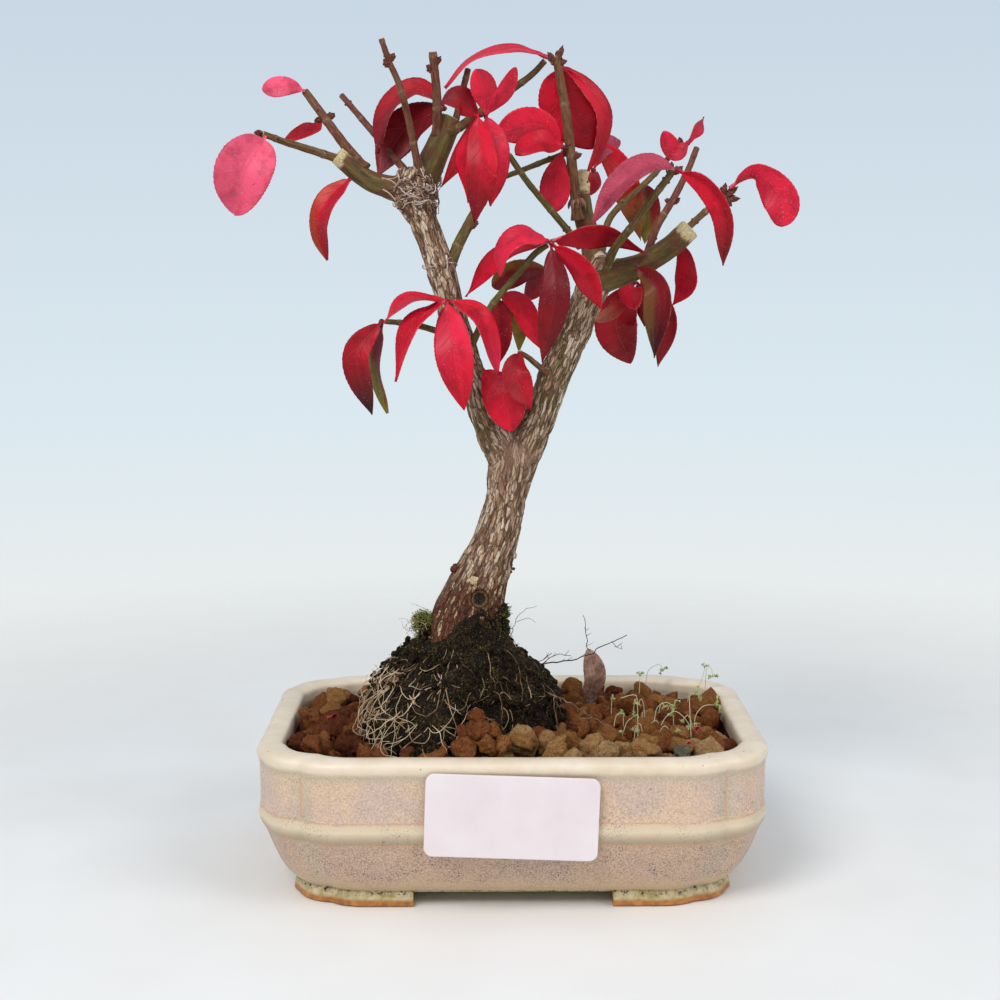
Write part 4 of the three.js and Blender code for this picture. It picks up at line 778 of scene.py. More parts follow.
def bark_shader():
    """Brown bark in pale and dark flakes, red-brown low down, olive on stubs, smooth on twigs"""
    s = Shader("bark", 0.75, Specular_IOR_Level=0.28)
    grain = s.attribute("grain", "Vector")
    age = s.attribute("age")
    ridge = s.attribute("ridge")
    height = s.part(s.place(), "Z") / MM
    bent = s.shifted(grain, 2.6, 1.1)
    flakes = s.stretch(bent, (1, 1, 0.2))
    net = s.cells(0.85, flakes, "DISTANCE_TO_EDGE")
    chips = s.chances(0.85, flakes)
    streaks = s.noise(0.6, 4, s.stretch(bent, (1, 1, 0.16)), 0.62)
    fine = s.noise(0.28, 3, s.stretch(grain, (1, 1, 0.4)), 0.65)
    patch = s.noise(5, 2, grain)
    tone = chips * 0.42 + streaks * 0.62
    tone = tone + (ridge - 0.5) * 0.14
    old = s.ramp(tone, (0.28, "5f402c"), (0.4, "86634a"), (0.52, "a68266"), (0.64, "c6a98b"),
                 (0.78, "dfcab1"))
    old = s.mix(s.step(fine, 0.52, 0.36) * 0.3, old, "5a3c2a")
    olive_side = s.step(height, 121, 133) * s.step(height, 182, 158)
    olive_side = olive_side * s.step(patch, 0.36, 0.52)
    olive_side = olive_side * s.step(tone, 0.56, 0.46)
    old = s.mix(olive_side * 0.85, old, "62552a")
    groove = s.maths("MAXIMUM", s.step(streaks, 0.39, 0.31), s.step(net, 0.13, 0.03) * 0.9)
    old = s.mix(groove * 0.8, old, "3f291c")
    rust = s.ramp(streaks * 0.6 + fine * 0.4,
                  (0.36, "2b120b"), (0.48, "5a2a1a"), (0.58, "804a2e"), (0.7, "ac7c50"))
    flecks = s.step(chips, 0.8, 0.86) * s.step(fine, 0.42, 0.54)
    rust = s.mix(flecks, rust, "d2b684")
    rust = s.mix(groove * 0.75, rust, "1d0d08")
    low = s.step(height + patch * 16, 108, 92)
    old = s.mix(low * 0.95, old, rust)
    blush = s.ramp(fine, (0.35, "74483a"), (0.5, "a57a66"), (0.7, "caa892"))
    old = s.mix(s.attribute("blush") * 0.55, old, blush)
    long_blotch = s.noise(1.4, 3, s.stretch(grain, (1, 1, 0.2)))
    stub = s.ramp(long_blotch, (0.3, "4a3620"), (0.45, "5c4a27"), (0.6, "6c5a2e"), (0.75, "806c48"))
    stub = s.mix(s.step(patch, 0.48, 0.64) * 0.8, stub, "6a3a28")
    crack = s.step(s.cells(2.6, s.stretch(bent, (1, 1, 0.4)), "DISTANCE_TO_EDGE"), 0.03, 0.0) * 0.12
    stub = s.mix(crack, stub, "b39a74")
    twig_brown = s.ramp(streaks, (0.3, "46201a"), (0.5, "6e3b2c"), (0.7, "8a5841"))
    twig_olive = s.ramp(streaks, (0.3, "443c1e"), (0.5, "625628"), (0.7, "7c6d3e"))
    twig = s.mix(s.attribute("olive"), twig_brown, twig_olive)
    twig = s.mix(s.step(patch, 0.5, 0.7) * 0.25, twig, "86704e")
    young = s.mix(s.step(age, 0.08, 0.25), twig, stub)
    joint = s.mix(s.step(fine, 0.45, 0.55), "4a2c1c", "b89c7c")
    young = s.mix(s.attribute("joint") * 0.5, young, joint)
    colour = s.mix(s.step(age, 0.5, 0.8), young, old)
    rings = s.maths("PINGPONG", s.attribute("core") * 5.0, 1.0)
    ends = s.ramp(s.noise(0.6, 4, grain), (0.3, "b2925f"), (0.5, "dac493"), (0.75, "efe3c2"))
    ends = s.mix(s.step(rings, 0.4, 0.08) * 0.55, ends, "6b4c2e")
    colour = s.mix(s.attribute("cut"), colour, ends)
    scales = s.ramp(fine, (0.35, "32130d"), (0.55, "6a3224"), (0.75, "a8735a"))
    colour = s.mix(s.attribute("bud"), colour, scales)
    shred = s.ramp(ridge, (0.0, "5c3527"), (0.35, "9a7460"), (0.6, "cdb3a2"), (1.0, "ead9cb"))
    colour = s.mix(s.attribute("shred"), colour, shred)
    knot = s.attribute("knot")
    inner = s.maths("PINGPONG", knot * 0.9 + fine, 0.5)
    bark_rings = s.ramp(fine, (0.35, "4a2f18"), (0.6, "83603a"), (0.8, "ab9166"))
    hollow = s.mix(s.step(inner, 0.1, 0.3), "1f130b", bark_rings)
    centre = s.ramp(fine, (0.42, "0e0a06"), (0.6, "322714"), (0.76, "7d7650"))
    hollow = s.mix(s.step(knot, 2.2, 1.2), hollow, centre)
    colour = s.mix(s.step(knot, KNOT_RADIUS + 0.2, KNOT_RADIUS - 1.2), colour, hollow)
    deep = s.step(net, 0, 0.12) * s.step(age, 0.4, 0.8)
    rough = streaks * (0.35 + age) + fine * 0.35
    return s.finish(colour, deep * 0.6 + rough, 0.36, 0.8)


def compost_shader():
    s = Shader("compost", 0.92, Specular_IOR_Level=0.2)
    crumbs = s.noise(0.9, 5, rough=0.75)
    colour = s.ramp(crumbs, (0.36, "080504"), (0.47, "1a110b"), (0.56, "332215"), (0.64, "574027"),
                    (0.72, "866c42"))
    damp = s.noise(6, 2)
    colour = s.mix(s.step(damp, 0.5, 0.68) * 0.55, colour, "100b09")
    green = s.step(s.noise(5, 3), 0.5, 0.62) * s.step(s.noise(0.5, 2), 0.56, 0.62)
    colour = s.mix(green * 0.7, colour, "6b632a")
    pale = s.step(s.noise(0.45, 1), 0.7, 0.75)
    colour = s.mix(pale * 0.85, colour, "b8a468")
    return s.finish(colour, crumbs, 0.9, 1.0)


def granule_shader():
    """Porous fired clay, each lump between dark red-brown and tan, or grey-green for a stone"""
    s = Shader("fired_clay", 0.95, Specular_IOR_Level=0.15)
    tone = s.attribute("tone")
    blotch = (s.noise(1.1, 5, rough=0.75) - 0.5) * 0.8
    colour = s.ramp(tone + blotch, (0.0, "32180f"), (0.22, "64301c"), (0.4, "8b4a28"),
                    (0.56, "a76836"), (0.74, "c0864a"), (0.9, "d4a670"), (1.0, "e3c08c"))
    stone = s.ramp(s.noise(1.2, 4, rough=0.7), (0.3, "5b5a4c"), (0.55, "807e6a"), (0.75, "a39d84"))
    colour = s.mix(s.step(tone, 1.1, 1.3), colour, stone)
    pits = s.step(s.cells(0.7), 0.08, 0.45)
    pores = s.noise(0.42, 5, rough=0.8)
    colour = s.mix(s.step(pores, 0.47, 0.36) * 0.7, colour, "2c130a")
    dust = s.step(pores, 0.56, 0.68) * 0.45
    colour = s.mix(dust, colour, "cf9560")
    relief = pits * 0.8 + pores * 1.6
    return s.finish(colour, relief, 0.9, 1.0)


def root_shader():
    s = Shader("fine_roots", 0.7, Specular_IOR_Level=0.3)
    tone = s.attribute("tone")
    mixed = tone + (s.noise(2.2, 3) - 0.5) * 0.8
    colour = s.ramp(mixed, (0.05, "33241a"), (0.3, "74533b"), (0.55, "b3906e"), (0.78, "dcc09c"),
                    (0.95, "f0e2c8"))
    return s.finish(colour, s.noise(0.4, 2), 0.1)


def moss_shader():
    s = Shader("moss", 0.85, Specular_IOR_Level=0.2)
    colour = s.ramp(s.attribute("tone"), (0.0, "1c200a"), (0.4, "404818"), (0.7, "6f7230"),
                    (1.0, "b3aa5c"))
    return s.finish(colour, s.noise(0.5, 2), 0.1)


def card_shader():
    s = Shader("card", 0.25, Coat_Weight=0.2, Coat_Roughness=0.15)
    colour = s.ramp(s.noise(14, 3), (0.3, "ead9da"), (0.7, "f1e4e4"))
    dust = s.step(s.noise(0.35, 2), 0.68, 0.76)
    colour = s.mix(dust * 0.12, colour, "b9a9ae")
    return s.finish(colour, s.noise(5, 2), 0.04, 0.4)


def screen_shader():
    s = Shader("black_mesh", 0.55)
    colour = s.ramp(s.noise(2, 3), (0.3, "161716"), (0.6, "262826"), (0.8, "3b3a35"))
    return s.finish(colour, s.noise(0.6, 2), 0.08)


def leaf_shader():
    """Colour from the corners, faint veins, a light midrib, specks and a painted edge highlight"""
    s = Shader("autumn_leaf", 0.42, Specular_IOR_Level=0.22)
    blade = s.attribute("blade", "Vector")
    side = s.maths("ABSOLUTE", s.part(blade, "X"))
    along = s.part(blade, "Y")
    tint = s.attribute("tint", "Color")
    bloom = s.attribute("tint", "Alpha")
    cloud = s.noise(4.5, 3)
    tint = s.mix(s.step(cloud, 0.46, 0.7) * 0.45, tint, s.mix(1.0, tint, "a86a70", "MULTIPLY"))
    rise = along - side * 0.16
    rise = rise + s.noise(5, 1) * 0.06
    vein = s.maths("PINGPONG", rise * 8.0, 0.5)
    vein = s.step(vein, 0.08, 0.02) * s.step(side, 0.95, 0.5)
    rib = s.step(side, 0.05, 0.015)
    light = vein * 0.05 + rib * 0.18
    colour = s.mix(light, tint, s.mix(1.0, tint, "6a3c44", "ADD"))
    mealy = s.step(s.noise(0.5, 3, rough=0.7), 0.5, 0.75) * 0.16
    colour = s.mix(mealy * bloom, colour, "f2a0b0")
    dots = s.step(s.noise(0.36, 1), 0.69, 0.75) * s.step(s.noise(6, 2), 0.45, 0.65)
    colour = s.mix(dots * (0.3 + bloom * 0.6), colour, "f4c4c8")
    # Painted highlight: a pale pink line, in patches, along the serrated edge
    patchy_edge_highlight = s.step(s.noise(1.2, 2), 0.42, 0.62)
    edge = s.step(side, 0.96, 1.0) * (patchy_edge_highlight * 0.4)
    colour = s.mix(edge, colour, "e08c90")
    spots = s.step(s.noise(0.9, 2), 0.69, 0.75) * 0.5
    colour = s.mix(spots, colour, "5a0c18")
    relief = s.noise(0.9, 2) * 0.35 - (vein * 0.7 + rib)
    return s.finish(colour, relief, 0.14, 0.6)


def seedling_shader():
    s = Shader("seedling", 0.5, Subsurface_Weight=0.1, Subsurface_Scale=0.5 * MM)
    colour = s.ramp(s.attribute("tone"), (0.0, "ddd3ae"), (0.35, "cbc896"), (0.7, "9fb84c"),
                    (1.0, "7da032"))
    return s.finish(s.mix(s.noise(1.2, 2) * 0.6, colour, "d6cfa4"), s.noise(0.6, 2), 0.06)


def dry_leaf_shader():
    s = Shader("dry_leaf", 0.7)
    blade = s.attribute("blade", "Vector")
    side = s.maths("ABSOLUTE", s.part(blade, "X"))
    colour = s.ramp(s.noise(2.4, 4, rough=0.65), (0.3, "6b4234"), (0.5, "99705c"), (0.7, "bd9683"))
    low = s.step(s.part(blade, "Y"), 0.5, 0.3)
    dark = s.ramp(s.noise(1.1, 3), (0.35, "3a241b"), (0.6, "6f4d3c"), (0.75, "a78a74"))
    colour = s.mix(low, colour, dark)
    vein = s.maths("PINGPONG", (s.part(blade, "Y") - side * 0.12) * 11.0, 0.5)
    lines = s.maths("MAXIMUM", s.step(vein, 0.1, 0.03), s.step(side, 0.08, 0.03))
    colour = s.mix(lines * 0.22, colour, "d6b9a2")
    return s.finish(colour, s.noise(1, 3) - lines, 0.2, 0.8)


def bend(start, through, end, count=9):
    """A curve between two points, drawn towards a third"""
    start, through, end = np.array(start), np.array(through), np.array(end)
    t = np.linspace(0, 1, count)[:, None]
    return (1 - t) ** 2 * start + 2 * t * (1 - t) * through + t * t * end


def pot_plan():
    """Plan of the pot all round, and how far each point of it is from the nearest crease"""
    half_x, half_y = POT_LENGTH / 2, POT_WIDTH / 2
    front = np.linspace((0, -half_y), (FRONT_STRAIGHT, -half_y), 22)
    into = bend((FRONT_STRAIGHT, -half_y), (CREASE[0] - 4, -half_y + 0.3), (CREASE[0], -CREASE[1]))
    out = bend((CREASE[0], -CREASE[1]), (CORNER[0] - 3.2, -CREASE[1] + 1.2),
               (CORNER[0], -CORNER[1]))
    turn = bend((CORNER[0], -CORNER[1]), (half_x, -SIDE_STRAIGHT - 4), (half_x, -SIDE_STRAIGHT), 5)
    side = np.linspace((half_x, -SIDE_STRAIGHT), (half_x, 0), 14)
    quarter = np.vstack([front, into[1:], out[1:], turn[1:], side[1:]])
    half = np.vstack([quarter, quarter[-2::-1] * (1, -1)])
    plan = np.vstack([half, half[-2:0:-1] * (-1, 1)])
    from_crease = np.hypot(np.abs(plan[:, 0]) - CREASE[0], np.abs(plan[:, 1]) - CREASE[1])
    return plan, from_crease


def plan_ring(plan, height, inset):
    scale = (1 - inset / (POT_LENGTH / 2), 1 - inset / (POT_WIDTH / 2))
    return np.column_stack([plan * scale, np.full(len(plan), height)])


def softened(profile, step, rounds):
    """A profile with more points, its edges rounded a little"""
    points = np.array(profile, float)
    length = np.concatenate([[0], np.cumsum(np.linalg.norm(np.diff(points, axis=0), axis=1))])
    wanted = np.linspace(0, length[-1], round(length[-1] / step))
    dense = np.stack([np.interp(wanted, length, points[:, axis]) for axis in (0, 1)], 1)
    for _ in range(rounds):
        dense[1:-1] = (dense[:-2] + 2 * dense[1:-1] + dense[2:]) / 4
    return dense


def box(low, high):
    sides = list(zip(low, high))
    corners = np.array([(x, y, z) for z in sides[2] for y in sides[1] for x in sides[0]])
    return corners, [[0, 2, 3, 1], [4, 5, 7, 6], [0, 1, 5, 4], [2, 6, 7, 3], [0, 4, 6, 2],
                     [1, 3, 7, 5]]


def build_pot(material):
    plan, from_crease = pot_plan()
    profile = softened(POT_OUTSIDE + POT_INSIDE, 0.9, 2)
    rings = np.array([plan_ring(plan, height, inset) for height, inset in profile])
    corners = rings.reshape(-1, 3)
    outward = unit(corners * (1, 1.4, 0))
    corners = corners + outward * (bumps(corners, 16, 2) * 0.22)[:, None]
    faces = skin(len(profile), len(plan))
    first, last = np.arange(len(plan)), (len(profile) - 1) * len(plan) + np.arange(len(plan))
    faces += np.stack([last, np.roll(last, -1), np.roll(first, -1), first], 1).tolist()
    rows = np.arange(len(profile)) < len(profile) * 0.72
    away = np.where(rows[:, None], from_crease[None], 20).ravel()
    make_piece("pot_wall", (corners, faces), material, ["pot"], {"from_crease": away})
    build_pot_base(plan, material)


def build_pot_base(plan, material):
    """Floor with its drain holes, and four feet cut out of one ring"""
    floor = loft([plan_ring(plan, POT_BOTTOM - 0.05, 11.4),
                  plan_ring(plan, POT_FLOOR - 0.05, 15.4)])
    outline = ((0, FOOT_BASE_INSET + 0.7), (0.6, FOOT_BASE_INSET),
               (POT_BOTTOM - 0.6, FOOT_INSET - 0.1), (POT_BOTTOM + 0.8, FOOT_INSET + 0.4))
    ring = loft([plan_ring(plan, height, inset) for height, inset in outline])
    inner = loft([plan_ring(plan, -5, FOOT_INNER_INSET),
                  plan_ring(plan, POT_BOTTOM, FOOT_INNER_INSET)])
    along = box((-FOOT_GAP_X, -POT_WIDTH, -5), (FOOT_GAP_X, POT_WIDTH, POT_BOTTOM))
    across = box((-POT_LENGTH, -FOOT_GAP_Y, -5), (POT_LENGTH, FOOT_GAP_Y, POT_BOTTOM))
    feet = cut(ring, inner, along, across)
    drains = []
    for x in (-DRAIN_X, DRAIN_X):
        path = np.array([(x, 0, -1), (x, 0, POT_FLOOR + 5)], float)
        drains.append(tube(path, [DRAIN_RADIUS, DRAIN_RADIUS], 48))
    heap = Heap()
    heap.add(feet, from_crease=20)
    heap.add(cut(floor, *drains), from_crease=20)
    heap.piece("pot_base", material, "glaze", "pot", sharp=40)


def cut(shape, *cutters):
    """A shape with others cut out of it"""
    modifiers = []
    tools = []
    for cutter in cutters:
        tool = put_in_scene("tool", make_mesh("tool", cutter, 1))
        tools.append(tool)
        modifiers.append(("BOOLEAN", {"operation": "DIFFERENCE", "solver": "EXACT",
                                      "object": tool}))
    result, _ = after_modifiers(shape, *modifiers)
    for tool in tools:
        bpy.data.objects.remove(tool)
    return result


def build_card(material):
    """The plain card that leans against the rim and the belt"""
    across, up = CARD_WIDTH / 2 - CARD_CORNER, CARD_HEIGHT / 2 - CARD_CORNER
    outline = []
    for sign_x, sign_z, start in ((1, 1, 0), (-1, 1, 90), (-1, -1, 180), (1, -1, 270)):
        for angle in np.radians(np.linspace(start, start + 90, 9)):
            outline.append((sign_x * across + CARD_CORNER * math.cos(angle),
                            sign_z * up + CARD_CORNER * math.sin(angle)))
    outline = np.array(outline)
    tilt = math.radians(CARD_TILT)
    turn = np.array([[math.cos(tilt), -math.sin(tilt)], [math.sin(tilt), math.cos(tilt)]])
    rings = []
    back = -POT_WIDTH / 2 - 0.3
    depths = [(0, 0.25), (0, 0.1), (0.1, 0),
              (CARD_THICK - 0.1, 0), (CARD_THICK, 0.1), (CARD_THICK, 0.35)]
    for forward, inset in depths:
        plan = outline * (1 - inset / (CARD_WIDTH / 2), 1 - inset / (CARD_HEIGHT / 2)) @ turn.T
        depth = np.full(len(plan), back - forward)
        rings.append(np.column_stack([plan[:, 0] + CARD_X, depth, plan[:, 1] + CARD_Z]))
    make_piece("bare_card", loft(rings), material, ["label_card"], sharp=50)


def soil_height(x, y):
    away = np.hypot((x - BALL_X) / SOIL_REACH[0], (y - BALL_Y) / SOIL_REACH[1])
    return SOIL_EDGE + SOIL_RISE * np.maximum(0, 1 - away)


def in_pot(x, y, margin):
    """True where a point is inside the pot's inner wall by a margin"""
    inset = POT_WALL + margin
    half_x, half_y = POT_LENGTH / 2 - inset, POT_WIDTH / 2 - inset
    slant = abs(x) / half_x + abs(y) / half_y
    return abs(x) < half_x and abs(y) < half_y and slant < CORNER_CUT


def granule_shape(ball, size):
    """An angular lump: a ball cut by planes, then roughened and turned at random"""
    planes = unit(random.normal(size=(9, 3)))
    depth = random.uniform(0.6, 1.0, 9)
    facing = np.maximum(ball @ planes.T, 0.03)
    reach = depth / facing
    radius = -np.log(np.exp(-20 * reach).sum(1)) / 20
    radius = np.clip(radius, 0.4, 1.2)
    offset = random.uniform(0, 90, 3)
    rough = bumps(ball + offset, 0.62, 2) * 0.18
    rough = rough + bumps(ball * size + offset, 0.9, 3) * 0.2 / size ** 0.5
    corners = ball * (radius + rough)[:, None]
    corners = corners * (random.uniform(1, 1.3), random.uniform(0.85, 1.1),
                         random.uniform(0.68, 0.95))
    return corners @ random_turn().T * size


def random_turn():
    turn, _ = np.linalg.qr(random.normal(size=(3, 3)))
    return turn * np.sign(np.linalg.det(turn))


def granule_tone(x, y):
    """Dark red-brown left and back, orange-brown right, and painted light of tan along the front"""
    tone = 0.4 + 0.1 * smoothstep(-45, 0, x)
    # Painted light: granules along the front, from the middle rightwards, are made lighter tan
    tone += 0.36 * smoothstep(-22, -37, y) * smoothstep(-30, -8, x) + random.normal(0, 0.09)
    if random.random() < 0.08 * smoothstep(-40, -10, x) + 0.02:
        tone += 0.22
    return float(np.clip(tone, 0.14, 0.9))


def build_granules(material):
    """Two layers of lumps, some given one by one, and small crumbs between them"""
    fine, coarse, crumb = rounded_ball(4), rounded_ball(3), rounded_ball(2)
    near, far = Heap(), Heap()
    for middle, size, tone in SINGLE_GRANULES:
        near.add((granule_shape(fine[0], size) + middle, fine[1]), tone=tone)
    for layer, sink in enumerate(GRANULE_LAYERS):
        for row in range(-8, 9):
            for column in range(-11, 12):
                x = (column + row % 2 / 2 + random.uniform(-0.36, 0.36)) * GRANULE_PITCH
                y = (row * 0.87 + random.uniform(-0.36, 0.36)) * GRANULE_PITCH
                size = random.choice(GRANULE_SIZES, p=GRANULE_SHARES)
                if not in_pot(x, y, size * 0.8) or math.hypot(x - BALL_X, y - BALL_Y) < BALL_CLEAR:
                    continue
                by_hand = min(math.hypot(x - at[0], y - at[1]) for at, _, _ in SINGLE_GRANULES)
                if layer and by_hand < 4.5:
                    continue
                front = smoothstep(-22, -30, y) * smoothstep(-44, -36, y)
                heaped = 2 * front * smoothstep(-20, -8, x) + (0 if in_pot(x, y, 9) else 1.6)
                z = soil_height(x, y) - sink + 0.3 * size + random.uniform(-0.8, 0.8) + heaped
                ball, heap = (fine, near) if layer and y < -8 else (coarse, far)
                corners = granule_shape(ball[0], size) + (x, y, z)
                heap.add((corners, ball[1]), tone=granule_tone(x, y))
    for _ in range(CRUMBS):
        x, y = random.uniform(-66, 66), random.uniform(-43, 43)
        size = random.uniform(0.8, 1.9)
        if in_pot(x, y, 2) and math.hypot(x - BALL_X, y - BALL_Y) > BALL_CLEAR + 2:
            middle = (x, y, soil_height(x, y) + random.uniform(-1.5, 2.4))
            far.add((granule_shape(crumb[0], size) + middle, crumb[1]), tone=granule_tone(x, y))
    near.piece("granules_front", material, "granules", "soil")
    far.piece("granules_back", material, "granules", "soil")


def build_bed(material):
    """The mass of granules below the top ones, closed at the bottom over the screens"""
    plan, _ = pot_plan()
    rings = [plan_ring(plan, height + 0.3, inset + 0.6) for height, inset in POT_INSIDE[:0:-1]]
    edge = POT_INSIDE[1][1] + 0.6
    for share in np.linspace(1, 0.1, 12):
        ring = plan_ring(plan, 0, edge) * (share, share, 1)
        ring[:, 2] = soil_height(ring[:, 0], ring[:, 1]) - 2.5
        ring[:, 2] += bumps(ring, 5, 2) * 1.2
        rings.append(ring)
    rings[0][:, 2] += 1.2
    heap = Heap()
    heap.add(loft(rings), tone=0.3)
    heap.piece("granule_bed", material, "granules", "soil")


def ball_radius(angle, height):
    """How far the root ball reaches from its middle: most at the front left and low on the right"""
    radius = np.interp(height, BALL_HEIGHTS, BALL_RADII)
    front = np.maximum(0, np.cos(angle + 2.0)) ** 4 * 6.5 * smoothstep(5, 30, 75 - height)
    spread = np.maximum(0, np.cos(angle)) ** 3 * 5.5 * smoothstep(70, 58, height)
    dent = np.maximum(0, np.cos(angle + 1.05)) ** 4 * 4 * smoothstep(66, 52, height)
    radius = radius + front + spread - dent
    radius = radius + np.sin(3 * angle + 0.16 * height) * 0.9
    return radius + np.sin(7 * angle - 0.11 * height) * 0.6


def ball_point(angle, height, proud):
    """A point on the root ball, which is higher at the front right and lower at the front left"""
    radius = ball_radius(angle, height) + proud
    tilted = height + np.maximum(0, height - 48) * 0.2 * np.cos(angle + 0.9)
    tilted = tilted - 6.5 * smoothstep(58, 76, height) * np.maximum(0, np.cos(angle + 2.1)) ** 2
    x, y = BALL_X + radius * np.cos(angle), BALL_Y + radius * np.sin(angle)
    return np.stack([x, y, tilted + 0 * angle], -1)


def trunk_point(angle, height, proud):
    """A point on the lower trunk"""
    points, radii, _ = THICK_STEMS[0]
    heights = [point[2] for point in points]
    x, y = [np.interp(height, heights, [point[axis] for point in points]) for axis in (0, 1)]
    radius = np.interp(height, heights, radii) + proud
    return np.array((x + radius * math.cos(angle), y + radius * math.sin(angle), height))


def build_root_ball(material):
    """The ball of compost with clods on it, on the mound at its left and round the trunk"""
    angles = np.linspace(0, 2 * np.pi, BALL_SIDES, endpoint=False)
    heights = np.concatenate([np.linspace(15, 38, 6), np.linspace(39, BALL_TOP, 84)])
    rings = []
    for height in heights:
        ring = ball_point(angles, np.full(BALL_SIDES, height), 0)
        outward = unit((ring - (BALL_X, BALL_Y, 0)) * (1, 1, 0))
        rough = bumps(ring, 8, 2, 3) * 2.1 + bumps(ring, 2.6, 2, 5) * 1.3
        rough = rough + bumps(ring, 0.8, 2, 8) * 0.5
        rings.append(ring + outward * (rough - 0.4)[:, None])
    for shrink, rise in ((0.85, 1.3), (0.6, 2.0)):
        top = ball_point(angles, np.full(BALL_SIDES, BALL_TOP), 0)
        top = (top - (BALL_X, BALL_Y, 0)) * (shrink, shrink, 1) + (BALL_X + 1, BALL_Y, rise)
        top[:, 2] += bumps(top, 1.2, 2, 6) * 0.6
        rings.append(top)
    heap = Heap()
    heap.add(loft(rings))
    clods = []
    for _ in range(BALL_CLODS):
        angle, height = random.uniform(0, 2 * np.pi), random.uniform(43, 77)
        middle = ball_point(angle, height, random.uniform(-0.5, 1.3))
        clods.append((middle, random.uniform(0.3, 1.1)))
    for _ in range(MOUND_CLODS):
        reach = unit(random.normal(size=3)) * random.uniform(0.3, 1) ** 0.5
        clods.append((np.array((-26.4, -9, 75.4)) + reach * (2.8, 4.2, 4.8),
                      random.uniform(0.5, 1.1)))
    for _ in range(TRUNK_CLODS):
        share = random.uniform(0, 1)
        height = random.uniform(73.5, 75 + 9 * share ** 0.8)
        clods.append((trunk_point(math.radians(-112 + 108 * share), height,
                                  random.uniform(-0.3, 0.45)), random.uniform(0.35, 0.85)))
    clod = rounded_ball(2)
    for middle, size in clods:
        rough = bumps(clod[0] * 2 + random.uniform(0, 50, 3), 0.9, 2)
        corners = clod[0] * (1 + 0.3 * rough)[:, None]
        heap.add((corners @ random_turn().T * size + middle, clod[1]))
    heap.piece("compost_ball", material, "compost", "root_ball")


def grow_root(heap, angle, height, heading, thick, length, tone, lift):
    """A root that wanders over the ball, stands clear of it now and then, and parts into others"""
    points = []
    step = 1.4
    phase = random.uniform(0, 6)
    turn = 0
    for count in range(int(length / step)):
        ease = min(1, count / 3)
        proud = lift * (0.55 + 0.6 * math.sin(count * 0.45 + phase)) * ease - 0.8 * (1 - ease)
        proud += max(0, 51 - height) * 0.3
        points.append(ball_point(angle, height, proud) + random.normal(0, 0.12, 3))
        turn = 0.6 * turn + random.normal(0, 0.3)
        heading += turn + 0.14 * math.sin(-np.pi / 2 - heading)
        angle += step * math.cos(heading) / 26
        height += step * math.sin(heading)
        if height < 45 or height > BALL_TOP:
            break
        if thick > 0.13 and count > 3 and random.random() < 0.16:
            side = heading + random.choice((-1, 1)) * random.uniform(0.5, 1.2)
            grow_root(heap, angle, height, side, thick * 0.62, length * 0.5, tone + 0.08,
                      lift * 1.1)
    if len(points) > 3:
        heap.add(tapered(points, thick, thick * 0.45, 0.8, 6), tone=tone)


def build_roots(material):
    """Roots in a web over the ball, loose ones over the granules, and hairs on both"""
    heap = Heap()
    for _ in range(FRONT_ROOTS):
        angle = math.radians(random.normal(234, 25))
        thick = random.uniform(0.1, 0.2)
        grow_root(heap, angle, random.uniform(53, 72), -np.pi / 2 + random.uniform(-1.0, 1.0),
                  thick, random.uniform(16, 42), random.uniform(0.4, 0.85), random.uniform(0.6, 3))
    for _ in range(SHORT_ROOTS):
        grow_root(heap, random.uniform(0, 2 * np.pi), random.uniform(50, 74),
                  -np.pi / 2 + random.uniform(-1.4, 1.4), random.uniform(0.06, 0.14),
                  random.uniform(7, 24), random.uniform(0.15, 0.7), random.uniform(0.4, 1.8))
    for points, first, last in LOOSE_ROOTS:
        path, _ = smooth_path(points, 1.2)
        path[1:-1] += random.normal(0, 0.16, (len(path) - 2, 3))
        heap.add(tapered(path, first * 0.36, last * 0.4, 0.6, 8), tone=0.3)
    for _ in range(LOOSE_HAIRS):
        start = smooth_path(LOOSE_ROOTS[0][0], 1)[0][random.integers(6, 30)]
        end = start + random.uniform((-4, -2, -3), (5, 2, 1.5))
        middle = (start + end) / 2 + random.normal(0, 0.8, 3)
        heap.add(tapered([start, middle, end], 0.11, 0.06, 0.8, 5), tone=0.4)
    for _ in range(MOUND_HAIRS):
        start = np.array((-26.6, -10, 76)) + random.normal(0, 1, 3) * (1.6, 2.4, 3)
        end = start + random.uniform((-5.5, -3, -2), (-1, 1.5, 4))
        knee = (start + end) / 2 + random.normal(0, 1.2, 3)
        heap.add(tapered([start, knee, end, end + random.normal(0, 1, 3)], 0.09, 0.05, 0.7, 5),
                 tone=0.6)
    heap.piece("fine_roots", material, "compost", "root_ball")


def build_dead_twig(material):
    """Thin grey twigs with kinks and side shoots"""
    heap = Heap()
    for points, first, last in DEAD_TWIG:
        path, _ = smooth_path(points, 1.7)
        path[1:-1] += random.normal(0, 0.26, (len(path) - 2, 3))
        heap.add(tapered(path, first * 0.34, last * 0.42, 0.4, 8), tone=random.uniform(0.05, 0.2))
        for _ in range(4):
            start = path[random.integers(1, len(path))]
            end = start + random.uniform((-1, -1, 0.2), (2, 1, 1.6))
            heap.add(tapered([start, (start + end) / 2, end], 0.1, 0.05, 0.5, 6),
                     tone=random.uniform(0.1, 0.25))
    heap.piece("dead_twig", material, "compost", "root_ball")


